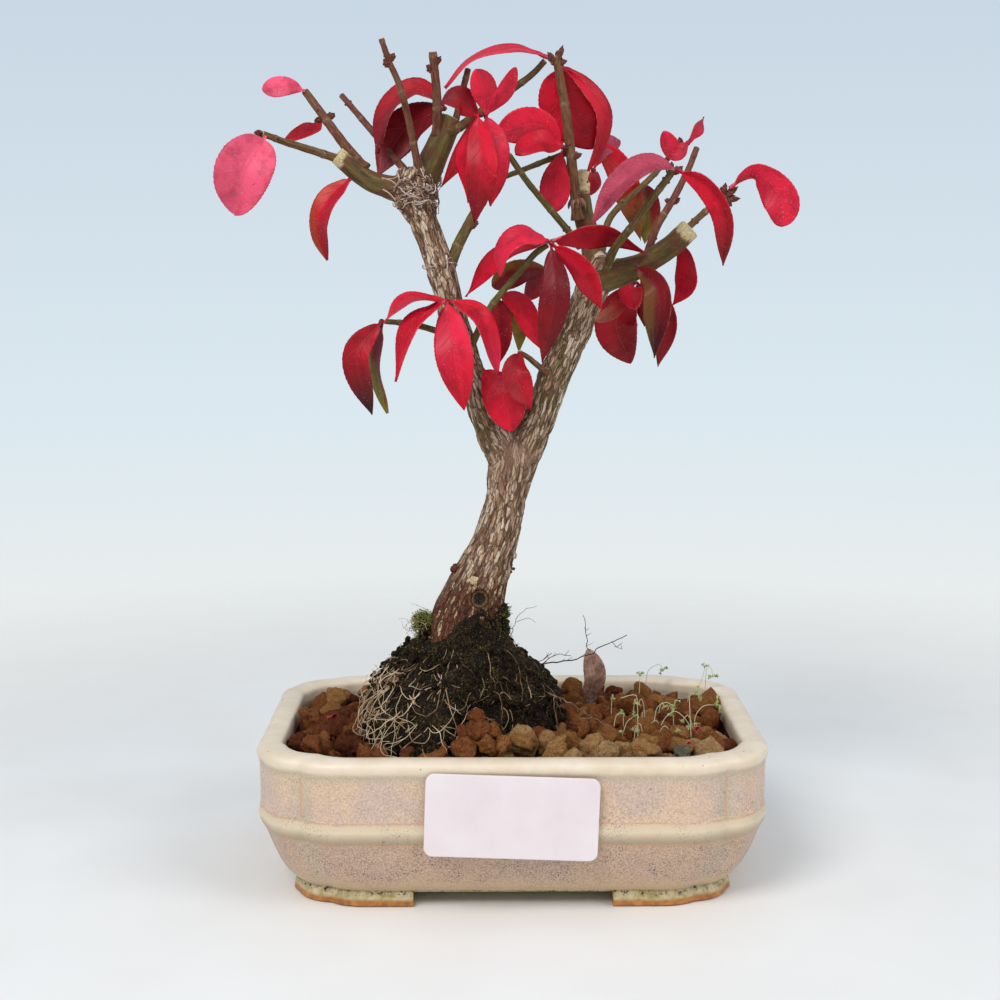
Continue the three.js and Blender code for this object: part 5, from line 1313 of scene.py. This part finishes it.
def build_moss(material):
    """Tufts of short pointed leaves, thickest at the left of the trunk"""
    heap = Heap()
    tufts = []
    for _ in range(BALL_TUFTS):
        angle, height = random.uniform(0, 2 * np.pi), random.uniform(56, BALL_TOP)
        tufts.append((ball_point(angle, height, 0.5), 0.2, 0.05))
    for _ in range(MOUND_TUFTS):
        reach = unit(random.normal(size=3) + (-0.3, -0.3, 0.6))
        tufts.append((np.array((-26.6, -9, 75.8)) + reach * (3, 4.4, 4.8), 0.45, 0.35))
    for _ in range(TRUNK_TUFTS):
        share = random.uniform(0, 1)
        height = random.uniform(74, 76 + 8 * share)
        tufts.append((trunk_point(math.radians(-112 + 112 * share), height, 0.4), 0.35, 0.15))
    spike = [[0, 1, 3], [1, 2, 3], [2, 0, 3]]
    for middle, size, light in tufts:
        outward = unit(middle - (BALL_X, BALL_Y, middle[2] - 8))
        shade = light + random.uniform(0, 0.4)
        for _ in range(int(10 + 18 * size)):
            lean = unit(outward + random.normal(0, 0.8, 3))
            foot = middle + random.normal(0, 0.4 + 0.45 * size, 3)
            across = unit(np.cross(lean, (0.3, 0.1, 1)))
            other = np.cross(lean, across)
            width = 0.13 + 0.06 * size
            tip = foot + lean * random.uniform(0.7, 1.4) * (0.4 + 0.7 * size)
            back = foot - across * width * 0.5
            corners = np.array([foot + across * width, back + other * width * 0.8,
                                back - other * width * 0.8, tip])
            heap.add((corners, spike), tone=[shade, shade, shade, min(1, shade + 0.4)])
    heap.piece("moss", material, "compost", "root_ball")


def wood_samples():
    """Points along the thick stems: place, radius, length, directions, age, number, whole length"""
    rows = []
    for number, (points, radii, age) in enumerate(THICK_STEMS):
        path, place = smooth_path(points, 1)
        along, one, two = directions(path)
        radius = np.interp(place, np.arange(len(radii)), radii)
        length = length_so_far(path)
        for i in range(len(path)):
            rows.append([*path[i], radius[i], length[i], *along[i], *one[i], *two[i], age, number,
                         length[-1]])
    return np.array(rows)


def nearest_samples(corners, rows):
    found = np.empty(len(corners), int)
    for start in range(0, len(corners), 4000):
        part = corners[start:start + 4000]
        apart = np.linalg.norm(part[:, None] - rows[None, :, :3], axis=2) - rows[None, :, 3]
        found[start:start + 4000] = apart.argmin(1)
    return rows[found]


def swelling(corners, middle, spread, amount):
    """A local bulge round a point"""
    apart = np.linalg.norm(corners - middle, axis=1)
    return amount * np.exp(-(apart / spread) ** 2)


def build_wood(material):
    """The thick stems as one skin with flakes, burrs, a knot and cut ends, and what grows on it"""
    shapes = Heap()
    for points, radii, _ in THICK_STEMS:
        path, place = smooth_path(points, 1.5)
        shapes.add(tube(path, np.interp(place, np.arange(len(radii)), radii), 28))
    rough = np.concatenate(shapes.corners), shapes.faces
    (corners, faces), normals = after_modifiers(
        rough,
        ("REMESH", {"mode": "VOXEL", "voxel_size": VOXEL}),
        ("SMOOTH", {"factor": 0.5, "iterations": 3}))
    rows = nearest_samples(corners, wood_samples())
    away = corners - rows[:, :3]
    length = rows[:, 4] + (away * rows[:, 5:8]).sum(1)
    one = (away * rows[:, 8:11]).sum(1)
    two = (away * rows[:, 11:14]).sum(1)
    around = unit(np.column_stack([one, two])) * rows[:, 3:4]
    age, number, whole = rows[:, 14], rows[:, 15], rows[:, 16]
    grain = np.column_stack([around, length]) + number[:, None] * GRAIN_SHIFT
    strips = bumps(grain * (1, 1, 0.22), 0.85, 2, 11) + 0.4 * bumps(grain * (1, 1, 0.3), 2.4, 1, 21)
    ridge = smoothstep(-0.3, 0.4, strips)
    depth = np.interp(age, [0.3, 0.5, 1], [0.05, 0.12, 0.38])
    lumps = bumps(corners, 6, 2, 9) * np.interp(age, [0.3, 1], [0.15, 0.35])
    core = np.hypot(one, two) / rows[:, 3]
    end = smoothstep(-0.6, -0.15, length - whole) * smoothstep(1.0, 0.86, core) * (number >= 3)
    peeled = smoothstep(-2.6, -1.4, length - whole + ridge) * np.isin(number, PEELED_STUBS)
    ring = bumps(corners, 1.1, 2, 31) * 0.5 + 0.5
    rise = (ridge - 0.5) * depth * (1 - end) + lumps
    for middle, spread, amount in BURRS:
        rise += swelling(corners, middle, spread, amount) * (0.4 + ring)
    knot = np.linalg.norm(corners - KNOT, axis=1)
    rise += 0.8 * np.exp(-((knot - KNOT_RADIUS) / 0.7) ** 2) - 1.2 * np.exp(-(knot / 2.2) ** 2)
    rise += 0.35 * np.exp(-((knot - KNOT_RADIUS - 1.9) / 0.5) ** 2)
    corners = corners + normals * rise[:, None]
    values = {"ridge": ridge, "age": age, "cut": np.maximum(end, 0.85 * peeled), "grain": grain,
              "knot": np.minimum(knot, KNOT_FAR), "core": core,
              "blush": swelling(corners, (1, -13, 129), 6, 1)}
    make_piece("wood", (corners, faces), material, ["trunk_and_branches"], values)
    build_fibres(BVHTree.FromPolygons(corners.tolist(), faces), material)
    build_lumps(material)
    build_twigs(material)


def build_twigs(material):
    """Slender twigs with faint joints and a pale cut end, one of them with a knob without bark"""
    heap = Heap()
    sides = 14
    angle = np.linspace(0, 2 * np.pi, sides, endpoint=False)[:, None]
    for number, (points, first, last, olive) in enumerate(TWIGS):
        path, _ = smooth_path(points, 0.5)
        along, one, two = directions(path)
        length = length_so_far(path)
        joint = np.mod(length + number * 3.7, JOINT_PITCH) - JOINT_PITCH / 2
        joint = np.exp(-(joint / 0.45) ** 2)
        radius = first + (last - first) * length / length[-1]
        radius = radius * (1 + 0.3 * np.exp(-(length / 1.5) ** 2)) + 0.14 * joint
        bare = (number == CAPPED_TWIG) * smoothstep(CAP_FROM, CAP_TO, path[:, 2])
        out = np.cos(angle) * one[:, None] + np.sin(angle) * two[:, None]
        rings = path[:, None] + out * radius[:, None, None]
        rough = bumps(rings.reshape(-1, 3), 1.5, 2, 40).reshape(len(path), sides)
        rings = rings + out * (rough * (0.06 + 0.5 * bare[:, None]))[..., None]
        ends = [path[-1] + out[-1] * radius[-1] * part + along[-1] * rise
                for part, rise in ((0.8, 0.12), (0.3, 0.16))]
        length = np.append(length, (length[-1], length[-1]))
        around = np.vstack([np.column_stack([np.cos(angle), np.sin(angle)]) * first] * len(length))
        grain = np.column_stack([around, np.repeat(length, sides)]) + number * GRAIN_SHIFT
        heap.add(loft(list(rings) + ends), age=0, olive=olive, ridge=0.5, grain=grain,
                 knot=KNOT_FAR, bud=0, cut=np.repeat(np.append(bare, (1, 1)), sides),
                 joint=np.repeat(np.append(joint, (0, 0)), sides),
                 core=np.repeat(np.append(np.ones(len(path)), (0.8, 0.3)), sides))
    heap.piece("twigs", material, "bark", "trunk_and_branches")


def bark_bit(heap, shape, age=1, ridge=0.5, pale=0, bud=0, shred=0):
    """A loose bit of bark with the values that the bark's colours need"""
    heap.add(shape, age=age, ridge=ridge, cut=pale, knot=KNOT_FAR, core=0.5, bud=bud, shred=shred,
             grain=shape[0])


def build_fibres(surface, material):
    """Pale shreds of bark round the collars, and a fringe of pointed scales at a twig's foot"""
    heap = Heap()
    for middle, axis, reach, spread, count in COLLARS:
        axis = unit(np.array(axis, float))
        one = unit(np.cross(axis, (0, 1, 0.1)))
        two = np.cross(axis, one)
        for _ in range(count):
            start, sweep = random.uniform(0, 2 * np.pi), random.uniform(0.25, 1.1)
            level, slope = random.normal(0, spread), random.normal(0, 2.2)
            curl, phase = random.uniform(0.2, 1.2), random.uniform(0, 6)
            proud = random.choice((0.1, 0.4, 1.1))
            points = []
            for share in np.linspace(0, 1, 8):
                angle = start + sweep * share
                out = one * math.cos(angle) + two * math.sin(angle)
                rise = level + slope * (share - 0.5) + curl * math.sin(5 * share + phase)
                centre = np.array(middle) + axis * rise
                hit, _, _, _ = surface.ray_cast((centre + out * reach).tolist(), (-out).tolist(),
                                                reach)
                if hit is None:
                    break
                points.append(np.array(hit) + out * (0.05 + proud * math.sin(math.pi * share)))
            if len(points) == 8:
                thick = random.uniform(0.12, 0.34)
                bark_bit(heap, tapered(points, thick, thick * 0.4, 0.8, 6),
                         ridge=random.uniform(0, 1), shred=1)
    for count in range(SCALES):
        angle = 2 * np.pi * count / SCALES + random.uniform(-0.15, 0.15)
        out = np.array((math.cos(angle), math.sin(angle), 0))
        foot = np.array(SCALES_MIDDLE) + out * 1.5
        tip = foot + out * random.uniform(0.9, 1.5) - (0, 0, random.uniform(2, 3.2))
        bark_bit(heap, tapered([foot, (foot + tip) / 2 + out * 0.4, tip], 0.55, 0.07, 0.4, 6),
                 age=0, ridge=random.uniform(0.0, 0.4), shred=0.8)
    heap.piece("bark_fibres", material, "bark", "trunk_and_branches")


def build_lumps(material):
    """Knobs of bark on the lower trunk, dark ones, and a pale chip"""
    heap = Heap()
    ball = rounded_ball(3)
    for middle, size, kind in LUMPS:
        for _ in range(1 if kind == "chip" else 6):
            rough = bumps(ball[0] + random.uniform(0, 60, 3), 0.5, 3)
            corners = ball[0] * (1 + 0.3 * rough)[:, None]
            if kind == "chip":
                corners = corners * (size, size * 0.4, size * 0.7) + middle
            else:
                corners = corners * random.uniform(0.4, 0.75) * size + middle
                corners = corners + random.normal(0, size * 0.4, 3)
            ridge, pale, dark = LUMP_KINDS[kind]
            bark_bit(heap, (corners, ball[1]), ridge=ridge, pale=pale, bud=dark)
    heap.piece("bark_lumps", material, "bark", "trunk_and_branches")


def build_buds(material):
    """Egg-shaped winter buds with overlapping scales, and small ones in pairs at the joints"""
    heap = Heap()
    buds = [(foot, way, 1) for foot, way in BUDS]
    for points, first, last, _ in TWIGS[:BUDDING_TWIGS]:
        path, _ = smooth_path(points, 1)
        along, one, two = directions(path)
        for spot in range(JOINT_PITCH // 2, len(path) - 3, JOINT_PITCH):
            radius = first + (last - first) * spot / len(path)
            way = math.cos(spot) * one[spot] + math.sin(spot) * two[spot]
            for side in (-1, 1):
                foot = path[spot] + way * side * radius * 0.75
                buds.append((foot, way * side * 0.5 + along[spot] * 0.8, 0.36))
    for foot, way, size in buds:
        start, way = np.array(foot, float), np.array(way, float)
        share = np.linspace(0, 1, 18 if size == 1 else 7)
        path = start + way * share[:, None]
        shape = np.interp(share, [0, 0.12, 0.38, 0.65, 0.88, 1], [0.55, 0.95, 1.2, 0.95, 0.4, 0.08])
        scales = 1 - 0.2 * ((share * 4) % 1)
        bark_bit(heap, tube(path, shape * scales * size, 10 if size == 1 else 7), age=0, ridge=0,
                 bud=0.85)
        for lobe in range(6 if size == 1 else 0):
            angle = 2.1 * lobe
            around = unit(np.cross(way, (0.2, 1, 0.1)))
            out = around * math.cos(angle) + np.cross(unit(way), around) * math.sin(angle)
            base = start + way * (0.04 + 0.1 * lobe)
            scale = [base + out * 0.55, base + way * 0.14 + out * 1.15,
                     base + way * 0.34 + out * 0.95]
            bark_bit(heap, tapered(scale, 0.45, 0.06, 0.3, 6), age=0, ridge=0,
                     bud=random.uniform(0.5, 1))
    heap.piece("winter_buds", material, "bark", "trunk_and_branches")


def leaf_blade(points, width, turn=0, turn_tip=None, fold=15, belly=0.95, blunt=0, rows=84,
               columns=12):
    """Both faces of a leaf, each corner with its place on the blade: across, along, and face"""
    length = sum(math.dist(a, b) for a, b in zip(points, points[1:]))
    path, _ = smooth_path(points, length / rows)
    share = np.linspace(0, 1, len(path))
    along = unit(np.gradient(path, axis=0))
    front = unit(np.array((0, -1, 0.1)))
    face = unit(front - along * (along @ front)[:, None])
    roll = np.radians(turn + ((turn if turn_tip is None else turn_tip) - turn) * share)[:, None]
    face = face * np.cos(roll) + np.cross(along, face) * np.sin(roll)
    across = np.cross(along, face)
    part = np.maximum(0, (share - STALK_SHARE) / (1 - STALK_SHARE))
    full = 0.5 + 0.4 * part * (1 - blunt)
    outline = np.maximum(0, np.sin(np.pi * part ** belly)) ** full
    outline = outline * (1 - 0.3 * (1 - blunt) * part ** 6)
    half = np.maximum(0.4 - 0.25 * smoothstep(0.5, 1, share), width / 2 * outline)
    lift = math.radians(fold)
    side = np.linspace(-1, 1, columns + 1)
    side = np.sign(side) * np.abs(side) ** 0.9
    phase = random.uniform(0, 6)
    blade = smoothstep(0.06, 0.18, share)
    saw = (share * length / 1.2 + 0.2 * np.sin(share * 31 + phase)) % 1
    teeth = saw * 0.035 * blade
    out = np.abs(side)
    reach = half[:, None] * out * (1 - teeth[:, None] * (out > 0.9))
    wave = 0.4 * np.sin(share[:, None] * 9 + phase + 1.4 * np.sign(side))
    wave = wave * side ** 2 * blade[:, None]
    bulge = 0.07 * np.sin((share[:, None] - 0.16 * out) * 16 * np.pi) * out * (1 - side ** 2)
    rise = reach * math.sin(lift) * out ** 0.25 + wave + bulge * blade[:, None]
    rise = rise - 0.05 * width * (side ** 2)[None] * blade[:, None] * math.copysign(1, fold)
    sideways = reach * math.cos(lift) * np.sign(side)
    middle = path[:, None] + across[:, None] * sideways[..., None] + face[:, None] * rise[..., None]
    stalk = 0.4 * (1 - smoothstep(0.03, 0.12, share))[:, None]
    upper = 0.11 + stalk - 0.05 * np.exp(-(side / 0.1) ** 2)
    lower = 0.11 + stalk + 0.22 * np.exp(-(side / 0.12) ** 2) * (1 - share[:, None] * 0.8)
    top = middle + face[:, None] * upper[..., None]
    bottom = middle - face[:, None] * lower[..., None]
    loop = np.concatenate([top[:, ::-1], bottom], axis=1)
    places = np.stack(np.broadcast_arrays(side[None], share[:, None], np.ones((1, 1))), -1)
    under = places * (1, 1, -1)
    corner_places = np.concatenate([places[:, ::-1], under], axis=1).reshape(-1, 3)
    return loft(loop), corner_places


def leaf_tint(places, row):
    """Colours at a leaf's corners, olive at the tip or along one edge, and bloom as fourth value"""
    first, last = [[np.array(linear(code)) for code in LEAF_COLOURS[row[key]]]
                   for key in ("colour", "tip")]
    towards = smoothstep(0.3, 0.95, places[:, 1:2])
    lit, back = [a + (b - a) * towards for a, b in zip(first, last)]
    tint = np.where(places[:, 2:] > 0, lit, back) * random.uniform(0.92, 1.06)
    patch = bumps(places * (1.3, 2.2, 0.2) + random.uniform(0, 60), 0.5, 3)
    darker = smoothstep(0.2, 1.1, patch)[:, None]
    # Painted light and shade: one half of each leaf, picked at random, is lighter and the other
    # darker
    half = 0.12 * np.sign(places[:, :1]) * random.choice((-1, 1))
    tint = tint * (1 - 0.3 * darker) * (1 + half)
    if row["olive"]:
        spread = places[:, 0] * 0.9 + 0.1
        if row["olive"] > 0:
            spread = places[:, 1] + 0.25 * places[:, 0]
        reach = smoothstep(0.25, 0.75, spread + 0.3 * patch)[:, None]
        olive = np.array(linear(LEAF_COLOURS["olive"][0]))
        tint = tint + (olive - tint) * reach * min(1, abs(row["olive"]) * 1.1)
    tint[:, 3] = {"pink": 1, "rose": 0.8, "bright": 0.4}.get(row["tip"], 0.1)
    return tint


def build_leaves(material):
    """Each leaf or spray of the solids, and the swelling on the twig that a spray springs from"""
    for node, (slot, hub, leaves) in LEAVES.items():
        heap = Heap()
        for row in leaves:
            shape, places = leaf_blade(row["points"], row["width"], row["turn"], row["turn_tip"],
                                       row["fold"], row["belly"], row["blunt"])
            heap.add(shape, blade=places, tint=leaf_tint(places, row))
        if hub:
            corners, faces = rounded_ball(3)
            corners = corners * (0.85 + 0.08 * bumps(corners, 0.6, 2))[:, None] + hub
            swell = np.array(linear("7a2226"))
            heap.add((corners, faces), blade=(0.5, 0.02, 1), tint=swell)
        heap.piece(node.replace("leaves", "spray").replace("leaf", "blade"), material, slot, node)


def build_dry_leaf(material):
    shape, places = leaf_blade(DRY_LEAF, 8, 0, 25, 22, 1.5, 0.8)
    make_piece("withered_leaf", shape, material, ["dry_leaf"], {"blade": places})


def build_seedlings(material):
    """Pale seedlings with nodding heads, and finer ones that curl among them"""
    heap = Heap()
    rows = list(SEEDLINGS)
    for _ in range(FINE_SEEDLINGS):
        x, y = random.uniform(30, 62), random.uniform(-22, 22)
        foot = np.array((x, y, soil_height(x, y) + 1))
        lean = random.uniform(-1, 1)
        tall = random.uniform(3, 8)
        bow = ((0, 0), (lean, tall * 0.7), (lean * 2.4, tall), (lean * 4, tall * 0.75))
        points = [foot + (over, 0, up) for over, up in bow]
        rows.append((points, random.choice((0, 0.8, 1.2))))
    for points, leaf in rows:
        heap.add(tapered(points, 0.13, 0.1, 0.8, 6), tone=random.uniform(0.0, 0.3))
        if leaf:
            tip = np.array(points[-1], float)
            way = unit(tip - np.array(points[-2], float))
            for turn in (-1, 1):
                side = unit(np.cross(way, (0, 1, 0.2))) * turn
                end = tip + (way * 0.4 + side) * leaf * 0.85
                middle = (tip + end) / 2 + (0, 0, 0.25 * leaf)
                shape, _ = leaf_blade([tip, middle, end], leaf * 0.62, 70, 70, 8, 0.95, 0.5, 12, 3)
                heap.add(shape, tone=random.uniform(0.7, 1))
    heap.piece("seedlings", material, "granules")


def build_litter(material):
    """Small red flakes of leaf on the granules"""
    heap = Heap()
    for middle, size in FLAKES:
        end = np.array(middle, float) + (size, 0.4 * size, 0.3)
        knee = (np.array(middle) + end) / 2 + (0, 0, 0.5)
        shape, places = leaf_blade([middle, knee, end], size * 0.6, 60, 60, 12, 0.95, 0, 16, 6)
        heap.add(shape, blade=places, tint=np.array(linear("b02a30")))
    heap.piece("leaf_flakes", material, "crimson")


def build_backdrop():
    """Cream below the horizon to light blue above it, seen brighter than it lights"""
    sky = bpy.data.worlds.new("backdrop")
    sky.use_nodes = True
    n = Nodes(sky.node_tree)
    up = n.part(n.node("ShaderNodeTexCoord", "Generated"), "Z")
    slope = n.node("ShaderNodeMapRange", 0, Value=up, i1=SKY_SLOPES[0], i2=SKY_SLOPES[1])
    seen = n.node("ShaderNodeLightPath", "Is Camera Ray")
    background = n.tree.nodes["Background"]
    n.feed(background.inputs[0], n.ramp(slope, *SKY_COLOURS))
    n.feed(background.inputs[1], n.node("ShaderNodeMapRange", 0, Value=seen, i3=SKY_LIGHT))
    bpy.context.scene.world = sky


def build_floor():
    """Pale floor that fades into the backdrop"""
    angles = np.linspace(0, 2 * np.pi, FLOOR_CORNERS, endpoint=False)
    circle = np.column_stack([np.cos(angles), np.sin(angles), 0 * angles])
    faces = [face[::-1] for face in skin(len(FLOOR_RINGS), FLOOR_CORNERS)]
    faces.append(list(range(FLOOR_CORNERS)))
    mesh = make_mesh("floor", (np.vstack([reach * circle for reach in FLOOR_RINGS]), faces))
    s = Shader("pale_floor", 0.7)
    s.finish(s.ramp(s.noise(60, 2), (0.3, "f3eee8"), (0.7, "f8f4ef")), s.noise(3, 2), 0.05, 0.2)
    reach = s.node("ShaderNodeVectorMath", 1, {"operation": "LENGTH"}, i0=s.place())
    clear = s.node("ShaderNodeBsdfTransparent", 0)
    pale = Value(s, s.surface.outputs[0])
    both = s.node("ShaderNodeMixShader", 0, i0=s.step(reach, *FLOOR_FADE), i1=pale, i2=clear)
    s.feed(s.tree.nodes["Material Output"].inputs[0], both)
    mesh.materials.append(s.material)
    floor = put_in_scene("floor", mesh)


def build_surroundings():
    """Floor, backdrop, two large soft lights and the camera of the photo"""
    build_floor()
    build_backdrop()
    for place, size, power in LAMPS:
        light = bpy.data.lights.new("soft_light", "AREA")
        light.shape = "DISK"
        light.size = size
        light.energy = power
        lamp = put_in_scene("soft_light", light)
        lamp.location = place
        away = np.array(place) - LAMP_AIM
        tilt = math.acos(away[2] / np.linalg.norm(away))
        lamp.rotation_euler = (tilt, 0, math.atan2(away[1], away[0]) + math.pi / 2)
    camera = put_in_scene("camera", bpy.data.cameras.new("camera"))
    camera.data.sensor_width = CAMERA_SENSOR
    camera.data.lens = CAMERA_LENS
    camera.location = CAMERA_PLACE
    camera.rotation_euler = (math.radians(90 - CAMERA_TILT), 0, math.radians(CAMERA_TURN))
    bpy.context.scene.camera = camera


glaze, bark, fired_clay, leaf_skin, fine_root = (
    glaze_shader(), bark_shader(), granule_shader(), leaf_shader(), root_shader())
build_pot(glaze)
build_card(card_shader())
build_bed(fired_clay)
build_granules(fired_clay)
build_root_ball(compost_shader())
build_roots(fine_root)
build_dead_twig(fine_root)
build_moss(moss_shader())
build_wood(bark)
build_buds(bark)
build_leaves(leaf_skin)
build_dry_leaf(dry_leaf_shader())
build_seedlings(seedling_shader())
build_litter(leaf_skin)
mesh_plastic = screen_shader()
for name in ("drain_screen_left", "drain_screen_right"):
    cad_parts[name].data.materials.clear()
    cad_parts[name].data.materials.append(mesh_plastic)
build_surroundings()
